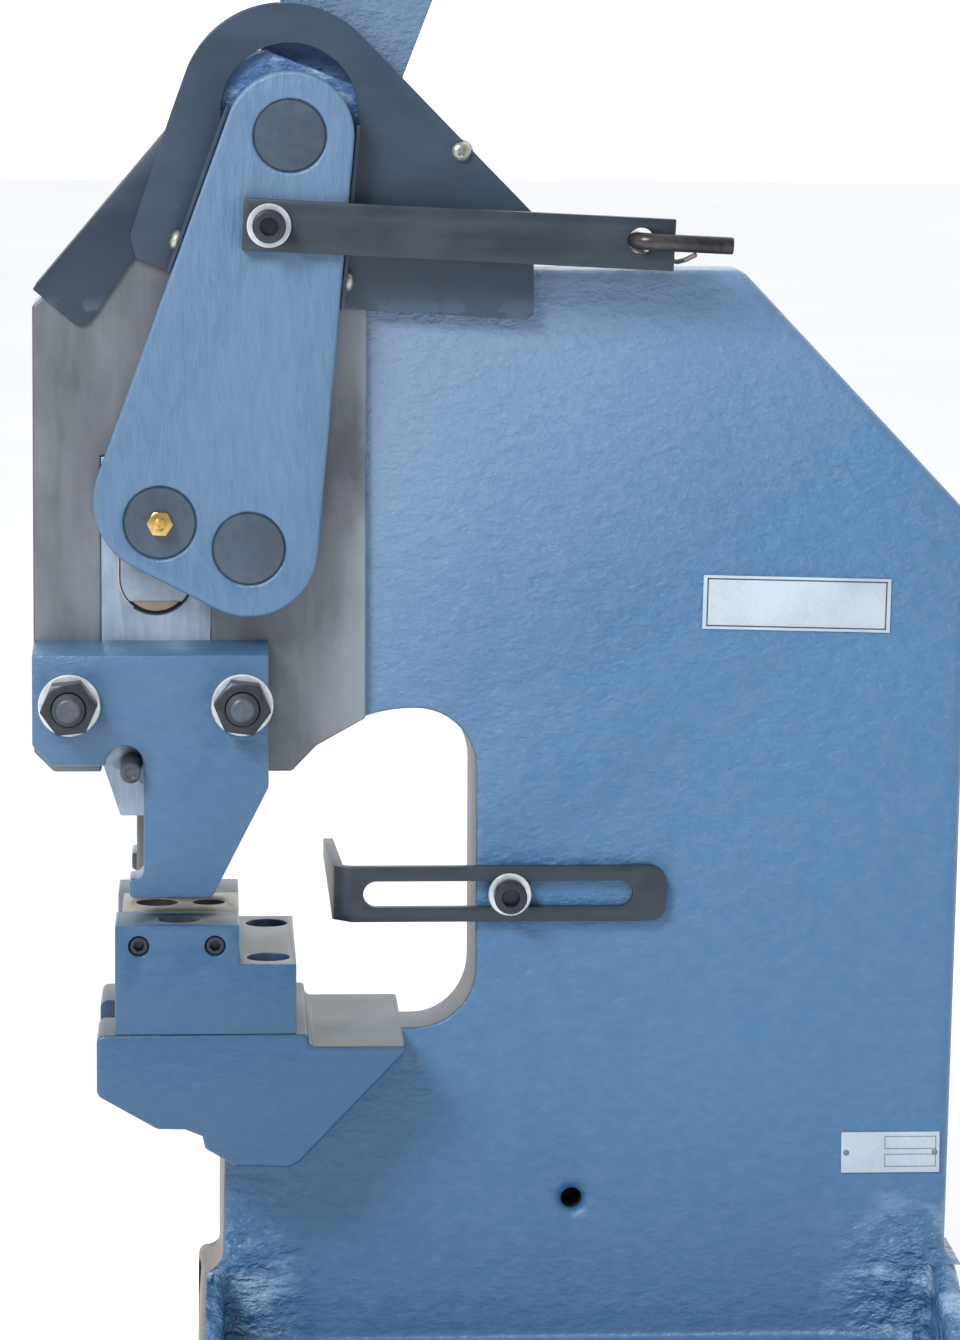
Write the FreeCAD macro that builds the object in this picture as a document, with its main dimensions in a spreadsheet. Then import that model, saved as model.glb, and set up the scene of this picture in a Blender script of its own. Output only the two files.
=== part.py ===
import FreeCAD, Part
import math
import os
import re
import Sketcher
from types import SimpleNamespace

# Lever hole punch: a cast C frame, a ram in its head, a rocker of two side plates that
# pushes the ram down, and a long lever whose toothed foot rolls on a fixed toothed
# segment and so swings the rocker.
#
# Millimetres. X runs from the ram (front, -X) to the back, Y across, Z up. The origin is
# the centre of the base on its underside. "Near" is the -Y side, "far" the +Y side.

SIZES = {
    # base and web
    "base_length": 376, "base_width": 200, "base_thick": 24, "base_corner_r": 18,
    "foot_bolt_x": 280, "foot_bolt_y": 150, "foot_hole_r": 9,
    "web_thick": 40, "web_front_x": -177.8, "web_back_low_x": 182.2, "web_back_x": 191,
    "shoulder_z": 436.3, "frame_top_z": 557, "frame_top_back_x": 77.4, "frame_top_r": 10,
    "foot_wall_x": 188, "foot_wall_thick": 12, "foot_wall_height": 63, "foot_wall_edge": 12,
    "foot_wall_spread": 184,
    # throat
    "throat_back_x": -51.7, "throat_top_z": 342, "throat_top_r": 30, "throat_bottom_r": 30,
    "throat_bend_x": -95.6, "throat_bend_r": 75, "throat_slope": 20,
    # head
    "head_thick": 50, "head_front_x": -267.9, "head_back_x": -106.2, "head_bottom_z": 311.9,
    "head_top_r": 156, "head_chamfer": 9.7,
    # table under the die
    "table_width": 128, "table_front_x": -237.1, "table_end_x": -87.8, "table_top_z": 189.3,
    "table_step": 6.2, "table_step_x": -134.8, "table_depth": 65.8,
    "groove_width": 42, "groove_depth": 12, "groove_length": 66,
    # ram and punch
    "ram_x": -208.4, "ram_width": 53, "slide_fit": 0.1, "ram_above_pin": 30, "ram_nose_z": 290.2,
    "ram_taper": 27, "ram_nose_width": 35, "ram_top_gap": 0.4, "window_r": 17.6,
    "window_below_pin": 46.7, "pad_depth": 6, "punch_r": 10, "punch_shank_r": 7,
    "punch_shank_length": 34, "punch_tip_z": 257.5, "clamp_screw_r": 5, "clamp_screw_length": 73,
    "clamp_screw_out": 33, "clamp_screw_z": 316.4,
    # rocker
    "pivot_dx": 45.1, "pivot_z": 423.7, "crank": 44.7, "crank_angle": 16.4, "rocker_swing": 26,
    "pin_r": 17.5, "waist_r": 13, "bush_wall": 3, "running_fit": 0.05, "saddle_fit": 1.6,
    "plate_thick": 20, "plate_gap": 1, "plate_top_r": 31, "plate_pivot_r": 33.5,
    "plate_ram_r": 35.8, "plate_ram_dx": 3.7, "plate_ram_dz": 10.2,
    # toothed drive
    "gear_module": 5, "lever_teeth": 24, "segment_teeth": 56, "pin_lean": 5.63,
    "backlash": 0.6, "segment_depth": 27, "segment_thick": 29.8, "segment_fit": 0.1,
    "segment_pin_r": 6, "foot_thick": 27.6,
    # lever
    "lever_lean": 21, "hub_r": 42, "hub_flat": 33.5, "hub_thick": 49, "arm_thick": 30,
    "arm_back": 41.6, "arm_front": 27, "arm_length": 340, "arm_end_width": 48,
    "lock_hole_along": 136, "lock_hole_r": 6.3,
    "socket_r": 27, "socket_length": 130, "tube_r": 21, "tube_wall": 3.2, "tube_fit": 0.2,
    "lever_length": 950, "grip_wall": 4, "grip_length": 135, "handle_screw_r": 5,
    # guards and front cover
    "sheet": 2, "cover_sheet": 1.5, "cover_gap": 0.5, "guard_r": 51.3, "guard_flange": 13,
    "guard_gap": 0.4, "arch_rise": 11, "arch_r": 33,
    "guard_centre_dx": -2, "guard_centre_dz": 11.8,
    "guard_shoulder_dx": -57.5, "guard_shoulder_dz": 8.9, "guard_nose_dx": -76.9, "guard_nose_dz": -48.5,
    "guard_lip_dx": -74.2, "guard_lip_dz": -59.8, "guard_front_dz": -66, "guard_low_dz": -83.9,
    "guard_back_dx": 118.3, "guard_back_dz": -89.5, "guard_tip_dz": -38.2, "guard_corner": 2.8,
    "flange_top_dz": 5, "flange_front_top_dz": 14, "back_screw_dz": -70.3, "front_screw_dz": -51.5,
    "cover_clear": 1.6, "cover_tip_dx": -126.5, "cover_tip_dz": -72.7, "cover_top_dx": -57.6,
    "cover_top_dz": 9.2, "cover_drop": 9.9, "cover_low_dx": -102, "cover_low_dz": -93,
    "cover_low_r": 6, "cover_inner_dx": -78.7, "cover_inner_dz": -59.1, "cover_back_dx": -62,
    "cover_back_dz": -45, "cover_edge_dx": -44,
    "spacer_r": 6, "spacer_dx": 82.9, "spacer_dz": -8.1,
    "guard_screw_r": 2.5, "guard_screw_head_r": 4.8, "guard_screw_head": 3.4,
    "guard_screw_length": 12,
    # lock bar
    "bar_width": 25, "bar_length": 207.6, "bar_thick": 6, "bar_lead": 12.5, "bar_reach": 178.8,
    "bar_hole_rise": 1.4, "bar_tilt": 2.7, "bar_dx": -10.1, "bar_dz": -42.7, "bar_gap": 0.3,
    "m10_r": 5, "m10_head_r": 8,
    "m10_head": 10, "m10_washer_r": 10.6, "washer_thick": 2, "m10_socket": 4, "m10_depth": 16,
    "lock_pin_r": 4.2, "lock_pin_leg": 62, "lock_pin_handle": 46, "lock_pin_bend": 7,
    "wire_r": 1.2,
    # stripper brackets
    "bracket_thick": 25, "bracket_top_z": 376.8, "bracket_back_x": -153.8, "bracket_low_z": 318.8,
    "bracket_foot_z": 254, "bracket_slope": 54, "stripper_bolt_z": 348.5, "stripper_bolt_dx": 83.3,
    "stripper_bolt_front_x": -249.9, "m16_r": 8, "m16_washer_r": 15, "m16_washer": 3,
    "m16_across": 24, "m16_nut": 13, "m16_head": 10, "stud_out": 5, "hole_gap": 0.4,
    # die
    "holder_front_x": -228.1, "holder_back_x": -140.5, "holder_width": 126, "holder_height": 53.5,
    "holder_step": 19.1, "holder_step_x": -168.1, "insert_width": 50, "insert_length": 57,
    "insert_depth": 35.5, "insert_fit": 0.1, "die_clearance": 0.35, "second_die_x": -183,
    "second_die_r": 8, "slug_relief": 2, "rack_r": 10.35, "rack_depth": 18, "rack_y": 44,
    "rack_wall_x": -197.2, "rack_back_x": -154, "set_screw_r": 5, "set_screw_depth": 9,
    "set_screw_z": 232.7, "set_screw_front_x": -216.6, "set_screw_back_x": -179.8,
    "hold_screw_r": 6, "hold_screw_bite": 15, "hold_screw_x": -154, "hold_screw_y": 36,
    "hold_screw_head_r": 9, "hold_screw_head": 12,
    # back stop
    "stop_front_x": -121.8, "stop_length": 163.6, "stop_height": 27.5, "stop_thick": 5,
    "stop_z": 250.5, "stop_slot_front": 14.6, "stop_slot_length": 132.6, "stop_slot_r": 6.4,
    "stop_tab": 83, "stop_tab_lean": 3.4, "stop_tip": 8.7, "stop_screw_x": -35.3,
    "stop_corner_r": 8,
    # holes and plates on the web
    "web_hole_x": -3.3, "web_hole_z": 95.5, "web_hole_r": 5.1, "web_hole_depth": 30,
    "name_x": 105.4, "name_z": 393.2, "name_length": 92.5, "name_height": 26.5,
    "data_x": 155, "data_z": 118.7, "data_length": 49, "data_height": 20.4, "label_thick": 0.8,
    "rivet_r": 1.5, "rivet_height": 0.8, "rivet_inset": 2.4,
    # grease nipple
    "nipple_across": 11, "nipple_hex": 5, "nipple_tip_r": 3.2, "nipple_tip": 6,
}

doc = FreeCAD.newDocument("lever_hole_punch")
sheet = doc.addObject("Spreadsheet::Sheet", "Sizes")
for row, (alias, number) in enumerate(SIZES.items(), start=1):
    sheet.set(f"A{row}", alias)
    sheet.set(f"B{row}", str(number))
    sheet.setAlias(f"B{row}", alias)
doc.recompute()
v = SimpleNamespace(**{alias: float(sheet.get(alias)) for alias in SIZES})

SIDES = {"near": -1, "far": 1}
parts = []


# ---------------------------------------------------------------- helpers

def bind(text):
    """The expression with every size's name pointed at the sheet."""
    return re.sub(r"[a-z]\w*", lambda word: f"Sizes.{word[0]}" if word[0] in SIZES else word[0], text)


def at(x, y, z):
    return FreeCAD.Vector(x, y, z)


def turned(point, pivot, degrees):
    """An (x, z) point turned about a pivot, anticlockwise as seen from the near side."""
    angle = math.radians(degrees)
    dx, dz = point[0] - pivot[0], point[1] - pivot[1]
    return (pivot[0] + dx * math.cos(angle) - dz * math.sin(angle),
            pivot[1] + dx * math.sin(angle) + dz * math.cos(angle))


def polar(centre, radius, degrees):
    angle = math.radians(degrees)
    return (centre[0] + radius * math.cos(angle), centre[1] + radius * math.sin(angle))


def flat(point):
    return FreeCAD.Vector(point[0], point[1], 0)


def line(start, end):
    return Part.LineSegment(flat(start), flat(end))


def arc(centre, radius, start, end):
    """An anticlockwise arc from one angle to a larger one, in degrees."""
    return Part.Arc(flat(polar(centre, radius, start)), flat(polar(centre, radius, (start + end) / 2)),
                    flat(polar(centre, radius, end)))


def outline(corners):
    """The lines and arcs of a closed outline. A corner is (x, z) or (x, z, radius)."""
    starts, ends, arcs = [], [], []
    for index, corner in enumerate(corners):
        here = flat(corner)
        if len(corner) < 3:
            starts.append(here)
            ends.append(here)
            continue
        back = (flat(corners[index - 1]) - here).normalize()
        ahead = (flat(corners[(index + 1) % len(corners)]) - here).normalize()
        half = back.getAngle(ahead) / 2
        reach = corner[2] / math.tan(half)
        middle = (back + ahead).normalize()
        summit = here + middle * (corner[2] / math.sin(half) - corner[2])
        starts.append(here + back * reach)
        ends.append(here + ahead * reach)
        arcs.append(Part.Arc(starts[-1], summit, ends[-1]))
    lines = []
    for index, end in enumerate(ends):
        start = starts[(index + 1) % len(starts)]
        if end.distanceToPoint(start) > 1e-6:
            lines.append(Part.LineSegment(end, start))
    return lines + arcs


def belt(circles):
    """The outline of a belt round circles (centre, radius) given anticlockwise."""
    normals = []
    for index, (centre, radius) in enumerate(circles):
        other, other_radius = circles[(index + 1) % len(circles)]
        ahead = flat(other) - flat(centre)
        share = (radius - other_radius) / ahead.Length
        ahead.normalize()
        right = FreeCAD.Vector(ahead.y, -ahead.x, 0)
        normals.append(ahead * share + right * math.sqrt(1 - share * share))
    edges = []
    for index, (centre, radius) in enumerate(circles):
        other, other_radius = circles[(index + 1) % len(circles)]
        came, leaves = normals[index - 1], normals[index]
        start = math.degrees(math.atan2(came.y, came.x))
        end = math.degrees(math.atan2(leaves.y, leaves.x))
        end += 360 if end < start else 0
        edges.append(arc(centre, radius, start, end))
        edges.append(Part.LineSegment(flat(centre) + leaves * radius, flat(other) + leaves * other_radius))
    return edges


def circle(centre, radius):
    return [Part.Circle(flat(centre), FreeCAD.Vector(0, 0, 1), radius)]


def slot(start, end, radius):
    """A long round-ended hole between two centres on a level line."""
    return belt([(start, radius), (end, radius)])


def new_body(label):
    body = doc.addObject("PartDesign::Body", label)
    body.Label = label
    parts.append(body)
    return body


def sketch_on(body, role, offset, edges):
    """A sketch on one of the body's origin planes, moved along the plane's normal."""
    plane = next(feature for feature in body.Origin.OriginFeatures if feature.Role == role)
    sketch = body.newObject("Sketcher::SketchObject", f"{body.Label}_sketch")
    sketch.AttachmentSupport = [(plane, "")]
    sketch.MapMode = "FlatFace"
    sketch.setExpression("AttachmentOffset.Base.z", bind(offset))
    sketch.addGeometry(edges, False)
    return sketch


def add(body, edges, offset, length, role="XZ_Plane"):
    """Pads an outline. On the XZ plane the pad runs from -offset towards the near side."""
    pad = body.newObject("PartDesign::Pad", f"{body.Label}_pad")
    pad.Profile = sketch_on(body, role, offset, edges)
    pad.setExpression("Length", bind(length))
    doc.recompute()
    return pad


def remove(body, edges, offset, depth, role="XZ_Plane"):
    """Pockets an outline. On the XZ plane it cuts from -offset towards the far side."""
    before = body.Shape.Volume
    pocket = body.newObject("PartDesign::Pocket", f"{body.Label}_pocket")
    pocket.Profile = sketch_on(body, role, offset, edges)
    pocket.setExpression("Length", bind(depth))
    doc.recompute()
    if body.Shape.Volume > before - 1e-3:
        raise RuntimeError(f"a pocket in {body.Label} cuts nothing")
    return pocket


def spread(side, inner, thick):
    """The sketch offset of a slab that lies between inner and inner + thick on one side."""
    return inner if side == "near" else f"-({inner} + {thick})"


def rod(label, radius, length, start, along):
    """A round bar from a start point along a direction."""
    bar = doc.addObject("Part::Cylinder", label)
    bar.Label = label
    bar.setExpression("Radius", bind(radius))
    bar.setExpression("Height", bind(length))
    bar.Placement = FreeCAD.Placement(start, FreeCAD.Rotation(FreeCAD.Vector(0, 0, 1), along))
    return bar


def hexagon(label, across, length, start, along):
    """A six-sided prism, measured across its flats."""
    prism = doc.addObject("Part::Prism", label)
    prism.Label = label
    prism.Polygon = 6
    prism.setExpression("Circumradius", bind(f"({across}) / sqrt(3)"))
    prism.setExpression("Height", bind(length))
    prism.Placement = FreeCAD.Placement(start, FreeCAD.Rotation(FreeCAD.Vector(0, 0, 1), along))
    return prism


def joined(label, pieces):
    whole = doc.addObject("Part::MultiFuse", label)
    whole.Label = label
    whole.Shapes = pieces
    return whole


def cut(label, base, tool):
    result = doc.addObject("Part::Cut", label)
    result.Label = label
    result.Base, result.Tool = base, tool
    return result


def together(label, pieces):
    """Like pieces that share one node as separate solids."""
    group = doc.addObject("Part::Compound", label)
    group.Label = label
    group.Links = pieces
    return group


def keep(piece, label):
    piece.Label = label
    parts.append(piece)
    return piece


def cap_screw(label, radius, head_radius, head, socket, shank, seat, along):
    """A socket cap screw whose shank runs from its seat and whose head stands the other way."""
    body = joined(f"{label}_blank", [
        rod(f"{label}_shank", radius, shank, seat, along),
        rod(f"{label}_head", head_radius, head, seat, along * -1)])
    hollow = hexagon(f"{label}_socket", f"2 * ({socket})", f"({head}) / 2",
                     seat - along * getattr(v, head), along)
    return cut(label, body, hollow)


NEAR, FAR = FreeCAD.Vector(0, -1, 0), FreeCAD.Vector(0, 1, 0)
UP, DOWN = FreeCAD.Vector(0, 0, 1), FreeCAD.Vector(0, 0, -1)

# ---------------------------------------------------------------- the places that pieces share

half_head = v.head_thick / 2
half_web = v.web_thick / 2
plate_inner = half_head + v.plate_gap
plate_outer = plate_inner + v.plate_thick
pivot = (v.ram_x + v.pivot_dx, v.pivot_z)
ram_pin = (pivot[0] - v.crank * math.cos(math.radians(v.crank_angle)),
           pivot[1] + v.crank * math.sin(math.radians(v.crank_angle)))
lever_pitch_r = v.gear_module * v.lever_teeth / 2
segment_pitch_r = v.gear_module * v.segment_teeth / 2
gear_line = 90 - v.pin_lean
lever_pin = polar(pivot, lever_pitch_r + segment_pitch_r, gear_line)
channel_half = v.ram_width / 2 + v.slide_fit
ram_top_z = ram_pin[1] + v.ram_above_pin
bush_r = v.waist_r + v.running_fit + v.bush_wall
holder_top_z = v.table_top_z + v.holder_height
bracket_outer = half_head + v.bracket_thick
stripper_bolts = [v.stripper_bolt_front_x, v.stripper_bolt_front_x + v.stripper_bolt_dx]
table_bottom_z = v.table_top_z - v.table_depth


def arc_height(x):
    """How high the round top of the head stands at x."""
    return pivot[1] + math.sqrt(v.head_top_r ** 2 - (x - pivot[0]) ** 2)


def tooth_profile(centre, teeth, middles, root_gap):
    """The points of a run of involute teeth, clockwise from the first middle angle."""
    pitch_r = v.gear_module * teeth / 2
    base_r = pitch_r * math.cos(math.radians(20))
    root_r = pitch_r - 1.25 * v.gear_module
    tip_r = pitch_r + v.gear_module
    pressure = math.radians(20)
    half_tooth = math.pi / (2 * teeth) - v.backlash / (4 * pitch_r)

    def half_angle(radius):
        lean = math.acos(min(1, base_r / radius))
        return math.degrees(half_tooth + math.tan(pressure) - pressure - (math.tan(lean) - lean))

    start_r = max(base_r, root_r)
    flank = [start_r + (tip_r - start_r) * step / 5 for step in range(6)]
    points = []
    for middle in middles:
        points.append(polar(centre, root_r, middle + half_angle(start_r)))
        points += [polar(centre, radius, middle + half_angle(radius)) for radius in flank if radius > root_r]
        points += [polar(centre, radius, middle - half_angle(radius)) for radius in reversed(flank)
                   if radius > root_r]
        points.append(polar(centre, root_r, middle - half_angle(start_r)))
    root_start = polar(centre, root_r, middles[0] + root_gap)
    root_end = polar(centre, root_r, middles[-1] - root_gap)
    return [root_start] + points + [root_end]


def joined_lines(points):
    return [line(start, end) for start, end in zip(points, points[1:])
            if flat(start).distanceToPoint(flat(end)) > 1e-6]


# ---------------------------------------------------------------- frame casting

segment_pitch = 360 / v.segment_teeth
segment_middles = [gear_line + segment_pitch * step for step in range(5, -2, -1)]
segment_inner_r = segment_pitch_r - v.segment_depth
segment_ends = (segment_middles[-1] - segment_pitch * 0.7, segment_middles[0] + segment_pitch * 0.7)
segment_pins = [polar(pivot, segment_inner_r + 2 * v.segment_pin_r, gear_line + turn) for turn in (0, 16)]


def make_frame():
    frame = new_body("frame_casting")
    add(frame, outline([
        (-v.base_length / 2, -v.base_width / 2, v.base_corner_r),
        (v.base_length / 2, -v.base_width / 2, v.base_corner_r),
        (v.base_length / 2, v.base_width / 2, v.base_corner_r),
        (-v.base_length / 2, v.base_width / 2, v.base_corner_r)]), "0", "base_thick", "XY_Plane")
    sunk = v.base_thick / 2
    throat_start_x = v.head_back_x - 30
    throat_bottom_z = v.table_top_z - v.table_step
    throat_fall = (v.throat_bend_x - throat_start_x) * math.tan(math.radians(v.throat_slope))
    add(frame, outline([
        (v.web_front_x, sunk), (v.web_back_low_x, sunk), (v.web_back_x, v.shoulder_z, v.frame_top_r),
        (v.frame_top_back_x, v.frame_top_z, v.frame_top_r), (throat_start_x, v.frame_top_z),
        (throat_start_x, v.throat_top_z - throat_fall), (v.throat_bend_x, v.throat_top_z, v.throat_bend_r),
        (v.throat_back_x, v.throat_top_z, v.throat_top_r),
        (v.throat_back_x, throat_bottom_z, v.throat_bottom_r), (v.web_front_x, throat_bottom_z)]),
        "-web_thick / 2", "web_thick")
    back_angle = math.degrees(math.acos((v.head_back_x - pivot[0]) / v.head_top_r))
    front_angle = math.degrees(math.acos((v.head_front_x - pivot[0]) / v.head_top_r))
    head = [(v.head_front_x, arc_height(v.head_front_x)),
            (v.head_front_x, v.head_bottom_z + v.head_chamfer),
            (v.head_front_x + v.head_chamfer, v.head_bottom_z),
            (v.head_back_x - 36, v.head_bottom_z), (v.head_back_x - 24, v.head_bottom_z + 12.5),
            (v.head_back_x, v.head_bottom_z + 26), (v.head_back_x, arc_height(v.head_back_x))]
    add(frame, joined_lines(head) + [arc(pivot, v.head_top_r, back_angle, front_angle)],
        "-head_thick / 2", "head_thick")
    wing_x = v.table_front_x
    add(frame, outline([
        (wing_x, table_bottom_z + 36, 5), (wing_x + 29.3, table_bottom_z + 19.3),
        (wing_x + 43, table_bottom_z + 19, 2), (wing_x + 48.2, table_bottom_z + 15.6),
        (wing_x + 49.6, table_bottom_z + 9.4, 3), (wing_x + 67, table_bottom_z + 1),
        (wing_x + 93, table_bottom_z), (wing_x + 98.6, table_bottom_z + 2.9),
        (v.table_end_x, v.table_top_z - v.table_step - 3),
        (v.table_end_x, v.table_top_z - v.table_step), (v.table_step_x, v.table_top_z - v.table_step),
        (v.table_step_x, v.table_top_z), (wing_x, v.table_top_z, 4)]), "-table_width / 2", "table_width")
    wall_low = v.base_thick / 2
    wall_edge = v.base_thick + v.foot_wall_edge
    half_spread = v.foot_wall_spread / 2
    wall = outline([
        (-half_spread, wall_low), (half_spread, wall_low), (half_spread, wall_edge, 6),
        (half_web + 8, v.foot_wall_height, 12), (-half_web - 8, v.foot_wall_height, 12),
        (-half_spread, wall_edge, 6)])
    add(frame, wall, "-foot_wall_x", "foot_wall_thick", "YZ_Plane")
    add(frame, wall, "foot_wall_x - foot_wall_thick", "foot_wall_thick", "YZ_Plane")
    cut_frame(frame)
    return frame


def cut_frame(frame):
    channel_top_z = ram_top_z + v.ram_top_gap
    remove(frame, outline([
        (v.ram_x - channel_half, v.head_bottom_z - 1), (v.ram_x + channel_half, v.head_bottom_z - 1),
        (v.ram_x + channel_half, channel_top_z), (v.ram_x - channel_half, channel_top_z)]),
        "head_thick / 2", "head_thick")
    remove(frame, circle(pivot, bush_r), "head_thick / 2", "head_thick")
    slot_ends = (gear_line - 18, gear_line + v.rocker_swing + 17.5)
    slot_low, slot_high = segment_inner_r - v.segment_fit, v.head_top_r + 20
    remove(frame, [
        arc(pivot, slot_low, *slot_ends), arc(pivot, slot_high, *slot_ends),
        line(polar(pivot, slot_low, slot_ends[0]), polar(pivot, slot_high, slot_ends[0])),
        line(polar(pivot, slot_low, slot_ends[1]), polar(pivot, slot_high, slot_ends[1]))],
        "segment_thick / 2 + segment_fit", "segment_thick + 2 * segment_fit")
    for centre in segment_pins:
        remove(frame, circle(centre, v.segment_pin_r), "head_thick / 2", "head_thick")
    for x in stripper_bolts:
        remove(frame, circle((x, v.stripper_bolt_z), v.m16_r + v.hole_gap), "head_thick / 2", "head_thick")
    remove(frame, circle((v.web_hole_x, v.web_hole_z), v.web_hole_r), "web_thick / 2", "web_hole_depth")
    remove(frame, circle((v.stop_screw_x, v.stop_z), v.m10_r), "web_thick / 2", "m10_depth + 3")
    half_groove = v.groove_width / 2
    groove_end = v.table_front_x + v.groove_length
    remove(frame, outline([
        (v.table_front_x - 1, -half_groove), (groove_end, -half_groove, 6), (groove_end, half_groove, 6),
        (v.table_front_x - 1, half_groove)]), "table_top_z", "groove_depth", "XY_Plane")
    slug_r = v.punch_r + v.slug_relief + 2
    remove(frame, circle((v.ram_x, 0), slug_r), "table_top_z", "table_depth", "XY_Plane")
    for side in (-1, 1):
        centre = (v.hold_screw_x, side * v.hold_screw_y)
        remove(frame, circle(centre, v.hold_screw_r + v.hole_gap), "table_top_z", "table_depth", "XY_Plane")
        remove(frame, circle(centre, v.hold_screw_head_r + v.hole_gap),
               "table_top_z - table_depth + hold_screw_head", "hold_screw_head + 1", "XY_Plane")
    holes = []
    for x in (-v.foot_bolt_x / 2, v.foot_bolt_x / 2):
        for y in (-v.foot_bolt_y / 2, v.foot_bolt_y / 2):
            holes += circle((x, y), v.foot_hole_r)
    remove(frame, holes, "base_thick", "base_thick", "XY_Plane")


make_frame()

# ---------------------------------------------------------------- toothed segment and its dowels

segment = new_body("tooth_segment")
teeth_points = tooth_profile(pivot, int(v.segment_teeth), segment_middles, segment_pitch * 0.7)
add(segment, joined_lines(teeth_points) + [
    line(teeth_points[-1], polar(pivot, segment_inner_r, segment_ends[0])),
    arc(pivot, segment_inner_r, *segment_ends),
    line(polar(pivot, segment_inner_r, segment_ends[1]), teeth_points[0])],
    "-segment_thick / 2", "segment_thick")
for centre in segment_pins:
    remove(segment, circle(centre, v.segment_pin_r), "segment_thick / 2", "segment_thick")

keep(together("segment_pins_group", [
    rod(f"segment_pin_{number}", "segment_pin_r", "head_thick", at(x, half_head, z), NEAR)
    for number, (x, z) in enumerate(segment_pins)]), "segment_pins")

pivot_bush = new_body("pivot_bush")
add(pivot_bush, circle(pivot, bush_r) + circle(pivot, v.waist_r + v.running_fit),
    "-head_thick / 2", "head_thick")

# ---------------------------------------------------------------- rocker: side plates and pins

bulge = (ram_pin[0] + v.plate_ram_dx, ram_pin[1] + v.plate_ram_dz)
plate_circles = [(pivot, v.plate_pivot_r), (lever_pin, v.plate_top_r), (bulge, v.plate_ram_r)]
bar_pivot = (lever_pin[0] + v.bar_dx, lever_pin[1] + v.bar_dz)
PLATE_INNER = "head_thick / 2 + plate_gap"
PLATE_OUTER = "head_thick / 2 + plate_gap + plate_thick"

for side in SIDES:
    plate = new_body(f"side_plate_{side}")
    holes = circle(pivot, v.pin_r) + circle(ram_pin, v.pin_r) + circle(lever_pin, v.pin_r)
    add(plate, belt(plate_circles) + holes, spread(side, PLATE_INNER, "plate_thick"), "plate_thick")
    if side == "near":
        remove(plate, circle(bar_pivot, v.m10_r), PLATE_OUTER, "m10_depth")

stubs = []
for side, sign in SIDES.items():
    inward = FreeCAD.Vector(0, -sign, 0)
    stubs.append(joined(f"pivot_stub_{side}", [
        rod(f"pivot_end_{side}", "pin_r", "plate_thick", at(pivot[0], sign * plate_outer, pivot[1]), inward),
        rod(f"pivot_waist_{side}", "waist_r", "head_thick / 2 + plate_gap - 0.5",
            at(pivot[0], sign * plate_inner, pivot[1]), inward)]))
keep(together("pivot_stubs_group", stubs), "pivot_pins")

ram_pin_ends = [rod(f"ram_pin_end_{side}", "pin_r", "plate_thick",
                    at(ram_pin[0], sign * plate_outer, ram_pin[1]), FreeCAD.Vector(0, -sign, 0))
                for side, sign in SIDES.items()]
ram_pin_waist = rod("ram_pin_waist", "waist_r", "head_thick + 2 * plate_gap",
                    at(ram_pin[0], plate_inner, ram_pin[1]), NEAR)
nipple_hole = rod("ram_pin_nipple_hole", "nipple_tip_r", "nipple_hex",
                  at(ram_pin[0], -plate_outer, ram_pin[1]), FAR)
keep(cut("ram_pin_drilled", joined("ram_pin_blank", ram_pin_ends + [ram_pin_waist]), nipple_hole), "ram_pin")

nipple_face = at(ram_pin[0], -plate_outer, ram_pin[1])
keep(joined("nipple_blank", [
    hexagon("nipple_hexagon", "nipple_across", "nipple_hex", nipple_face, NEAR),
    rod("nipple_thread", "nipple_tip_r", "nipple_hex", nipple_face, FAR),
    rod("nipple_nose", "nipple_tip_r", "nipple_tip + nipple_hex", nipple_face, NEAR)]), "grease_nipple")

keep(rod("lever_pin_bar", "pin_r", "2 * (head_thick / 2 + plate_gap + plate_thick)",
         at(lever_pin[0], plate_outer, lever_pin[1]), NEAR), "lever_pin")

# ---------------------------------------------------------------- ram and what it holds

window_low = (v.ram_x, ram_pin[1] - v.window_below_pin + v.window_r)
window_high = (v.ram_x, ram_pin[1] + 1)


def pin_offsets():
    """How far the ram pin stands to the side of the ram's middle over its whole swing."""
    offsets = []
    for step in range(27):
        angle = math.radians(v.crank_angle - v.rocker_swing * step / 26)
        offsets.append(pivot[0] - v.crank * math.cos(angle) - v.ram_x)
    return min(offsets), max(offsets)


saddle_x = v.ram_x + sum(pin_offsets()) / 2
saddle_r = v.waist_r + v.saddle_fit
saddle_rise = v.saddle_fit - 0.4

ram = new_body("ram")
half_ram, half_nose = v.ram_width / 2, v.ram_nose_width / 2
add(ram, outline([
    (v.ram_x - half_nose, v.ram_nose_z), (v.ram_x + half_nose, v.ram_nose_z),
    (v.ram_x + half_ram, v.ram_nose_z + v.ram_taper), (v.ram_x + half_ram, ram_top_z),
    (v.ram_x - half_ram, ram_top_z), (v.ram_x - half_ram, v.ram_nose_z + v.ram_taper)])
    + belt([(window_low, v.window_r), (window_high, v.window_r)]),
    "-head_thick / 2 + slide_fit", "head_thick - 2 * slide_fit")
remove(ram, circle((v.ram_x, 0), v.punch_shank_r), "ram_nose_z + punch_shank_length", "punch_shank_length",
       "XY_Plane")
clamp_screw_x = v.ram_x - v.punch_shank_r - v.clamp_screw_r - v.running_fit
remove(ram, circle((clamp_screw_x, v.clamp_screw_z), v.clamp_screw_r), "head_thick / 2",
       "clamp_screw_length - clamp_screw_out")

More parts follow.
